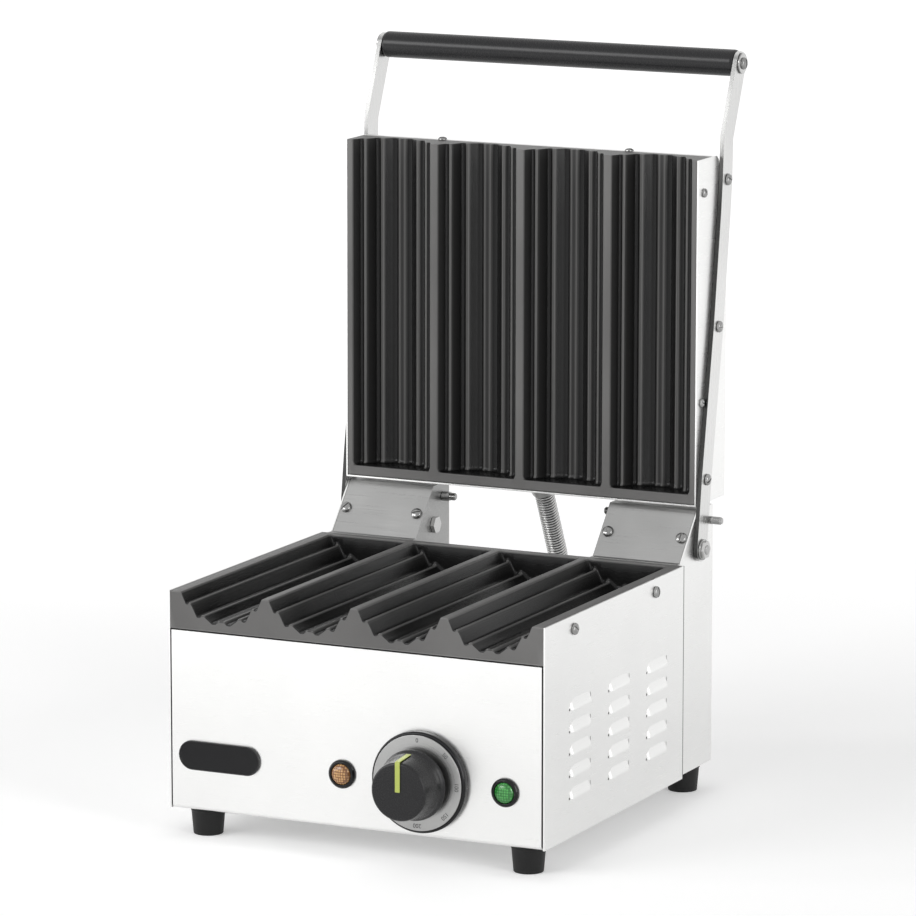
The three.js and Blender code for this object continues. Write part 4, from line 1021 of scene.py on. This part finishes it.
def guard_line():
    """The guard's middle line, by distance from the lid: straight, round a bend, and squarely into the back"""
    bend_radius, last_run, back_plane = 30.0, 10.1, 307
    lean = math.radians(26.2)
    mouth = OPENED @ Vector((0, -32.4, 36.4))
    along = OPENED.to_3x3() @ Vector((0, math.cos(lean), math.sin(lean)))
    fall = math.atan2(along.z, along.y)
    turn = math.pi + fall
    straight = (back_plane + last_run - bend_radius * along.z - mouth.y) / along.y
    bend = mouth + along * straight
    centre = Vector((0, bend.y + bend_radius * along.z, bend.z - bend_radius * along.y))

    def station(distance):
        if distance <= straight:
            return mouth + along * distance, along
        swept = min((distance - straight) / bend_radius, turn)
        past = max(distance - straight - bend_radius * turn, 0)
        heading = Vector((0, math.cos(fall - swept), math.sin(fall - swept)))
        return Vector((0, -heading.z, heading.y)) * bend_radius + centre + heading * past, heading

    return station, straight + bend_radius * turn + last_run


def ring_about(form, centre, across, up, radius, sides):
    """Points on a ring round a centre, in the plane of two directions"""
    turns = [math.tau * i / sides for i in range(sides)]
    return [form.verts.new(centre + (across * math.cos(turn) + up * math.sin(turn)) * radius) for turn in turns]


def tube_mesh(name, line, radius, sides):
    """A round bar along a line of points and headings in the plane across the hinge"""
    form, across = bmesh.new(), Vector((1, 0, 0))
    rings = [ring_about(form, point, across, along.cross(across), radius, sides) for point, along in line]
    return meshed(name, skinned(form, rings), sharp=80)


def coil_mesh(station, start, end):
    """A close coil of one wire about the guard's middle line"""
    wire, radius, pitch, steps, sides = 0.82, 6.83, 2.25, 20, 8
    curls = int((end - start) / pitch)
    form, rings, across = bmesh.new(), [], Vector((1, 0, 0))
    for i in range(curls * steps + 1):
        point, along = station(start + (end - start) * i / (curls * steps))
        turn = math.tau * i / steps
        up = along.cross(across)
        out = across * math.cos(turn) + up * math.sin(turn)
        run = (across * -math.sin(turn) + up * math.cos(turn)) * (math.tau * radius / pitch) + along
        rings.append(ring_about(form, point + out * radius, out, run.normalized().cross(out), wire, sides))
    return meshed("wire_guard", skinned(form, rings), sharp=80)


def wire_guard():
    """The coil and the wires in it, which run round a bend from the lid into the base, and the sockets at their ends"""
    station, length = guard_line()
    coil = shown("wire_guard_wound", coil_mesh(station, 8.3, length - 8.3), "spring_steel")
    line = [station(length * (i / 40)) for i in range(41)]
    wires = shown("element_wires_bundle", tube_mesh("element_wires", line, 3.2, 16), "wire_cover")
    low, high = BASE @ station(length - 8)[0], BASE @ station(8)[0]
    for piece, node, slot in ((coil, "wire_guard", "spring_steel"), (wires, "element_wires", "wire_cover")):
        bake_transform(piece)
        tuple(low)
        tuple(high)
        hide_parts(node)
    softened("guard_socket_base", "plain_steel")
    softened("guard_socket_lid", "plain_steel")


feet_and_gland()
wire_guard()
dressed("ceramic", "thermostat_body", "terminal_block")
dressed("copper", "thermostat_bulb")
dressed("element_steel", "lower_element", "upper_element")
dressed("insulation", "lid_insulation")
bpy.data.objects.remove(SLOTTED_HEAD)

bpy.context.scene.view_settings.view_transform = "Standard"
aim_camera()
white_studio()
pale_floor()
softbox("key_light", place=(-2.3, -3.5, 2.2), aim=(0, 0, 0.2), size=(2.4, 1.6), power=70)
softbox("tall_light_left", place=(-3.0, -1.6, 1.1), aim=(0, 0, 0.3), size=(0.6, 2.0), power=20)
softbox("tall_light_right", place=(3.0, -1.4, 1.2), aim=(0, 0, 0.3), size=(0.8, 2.2), power=32)
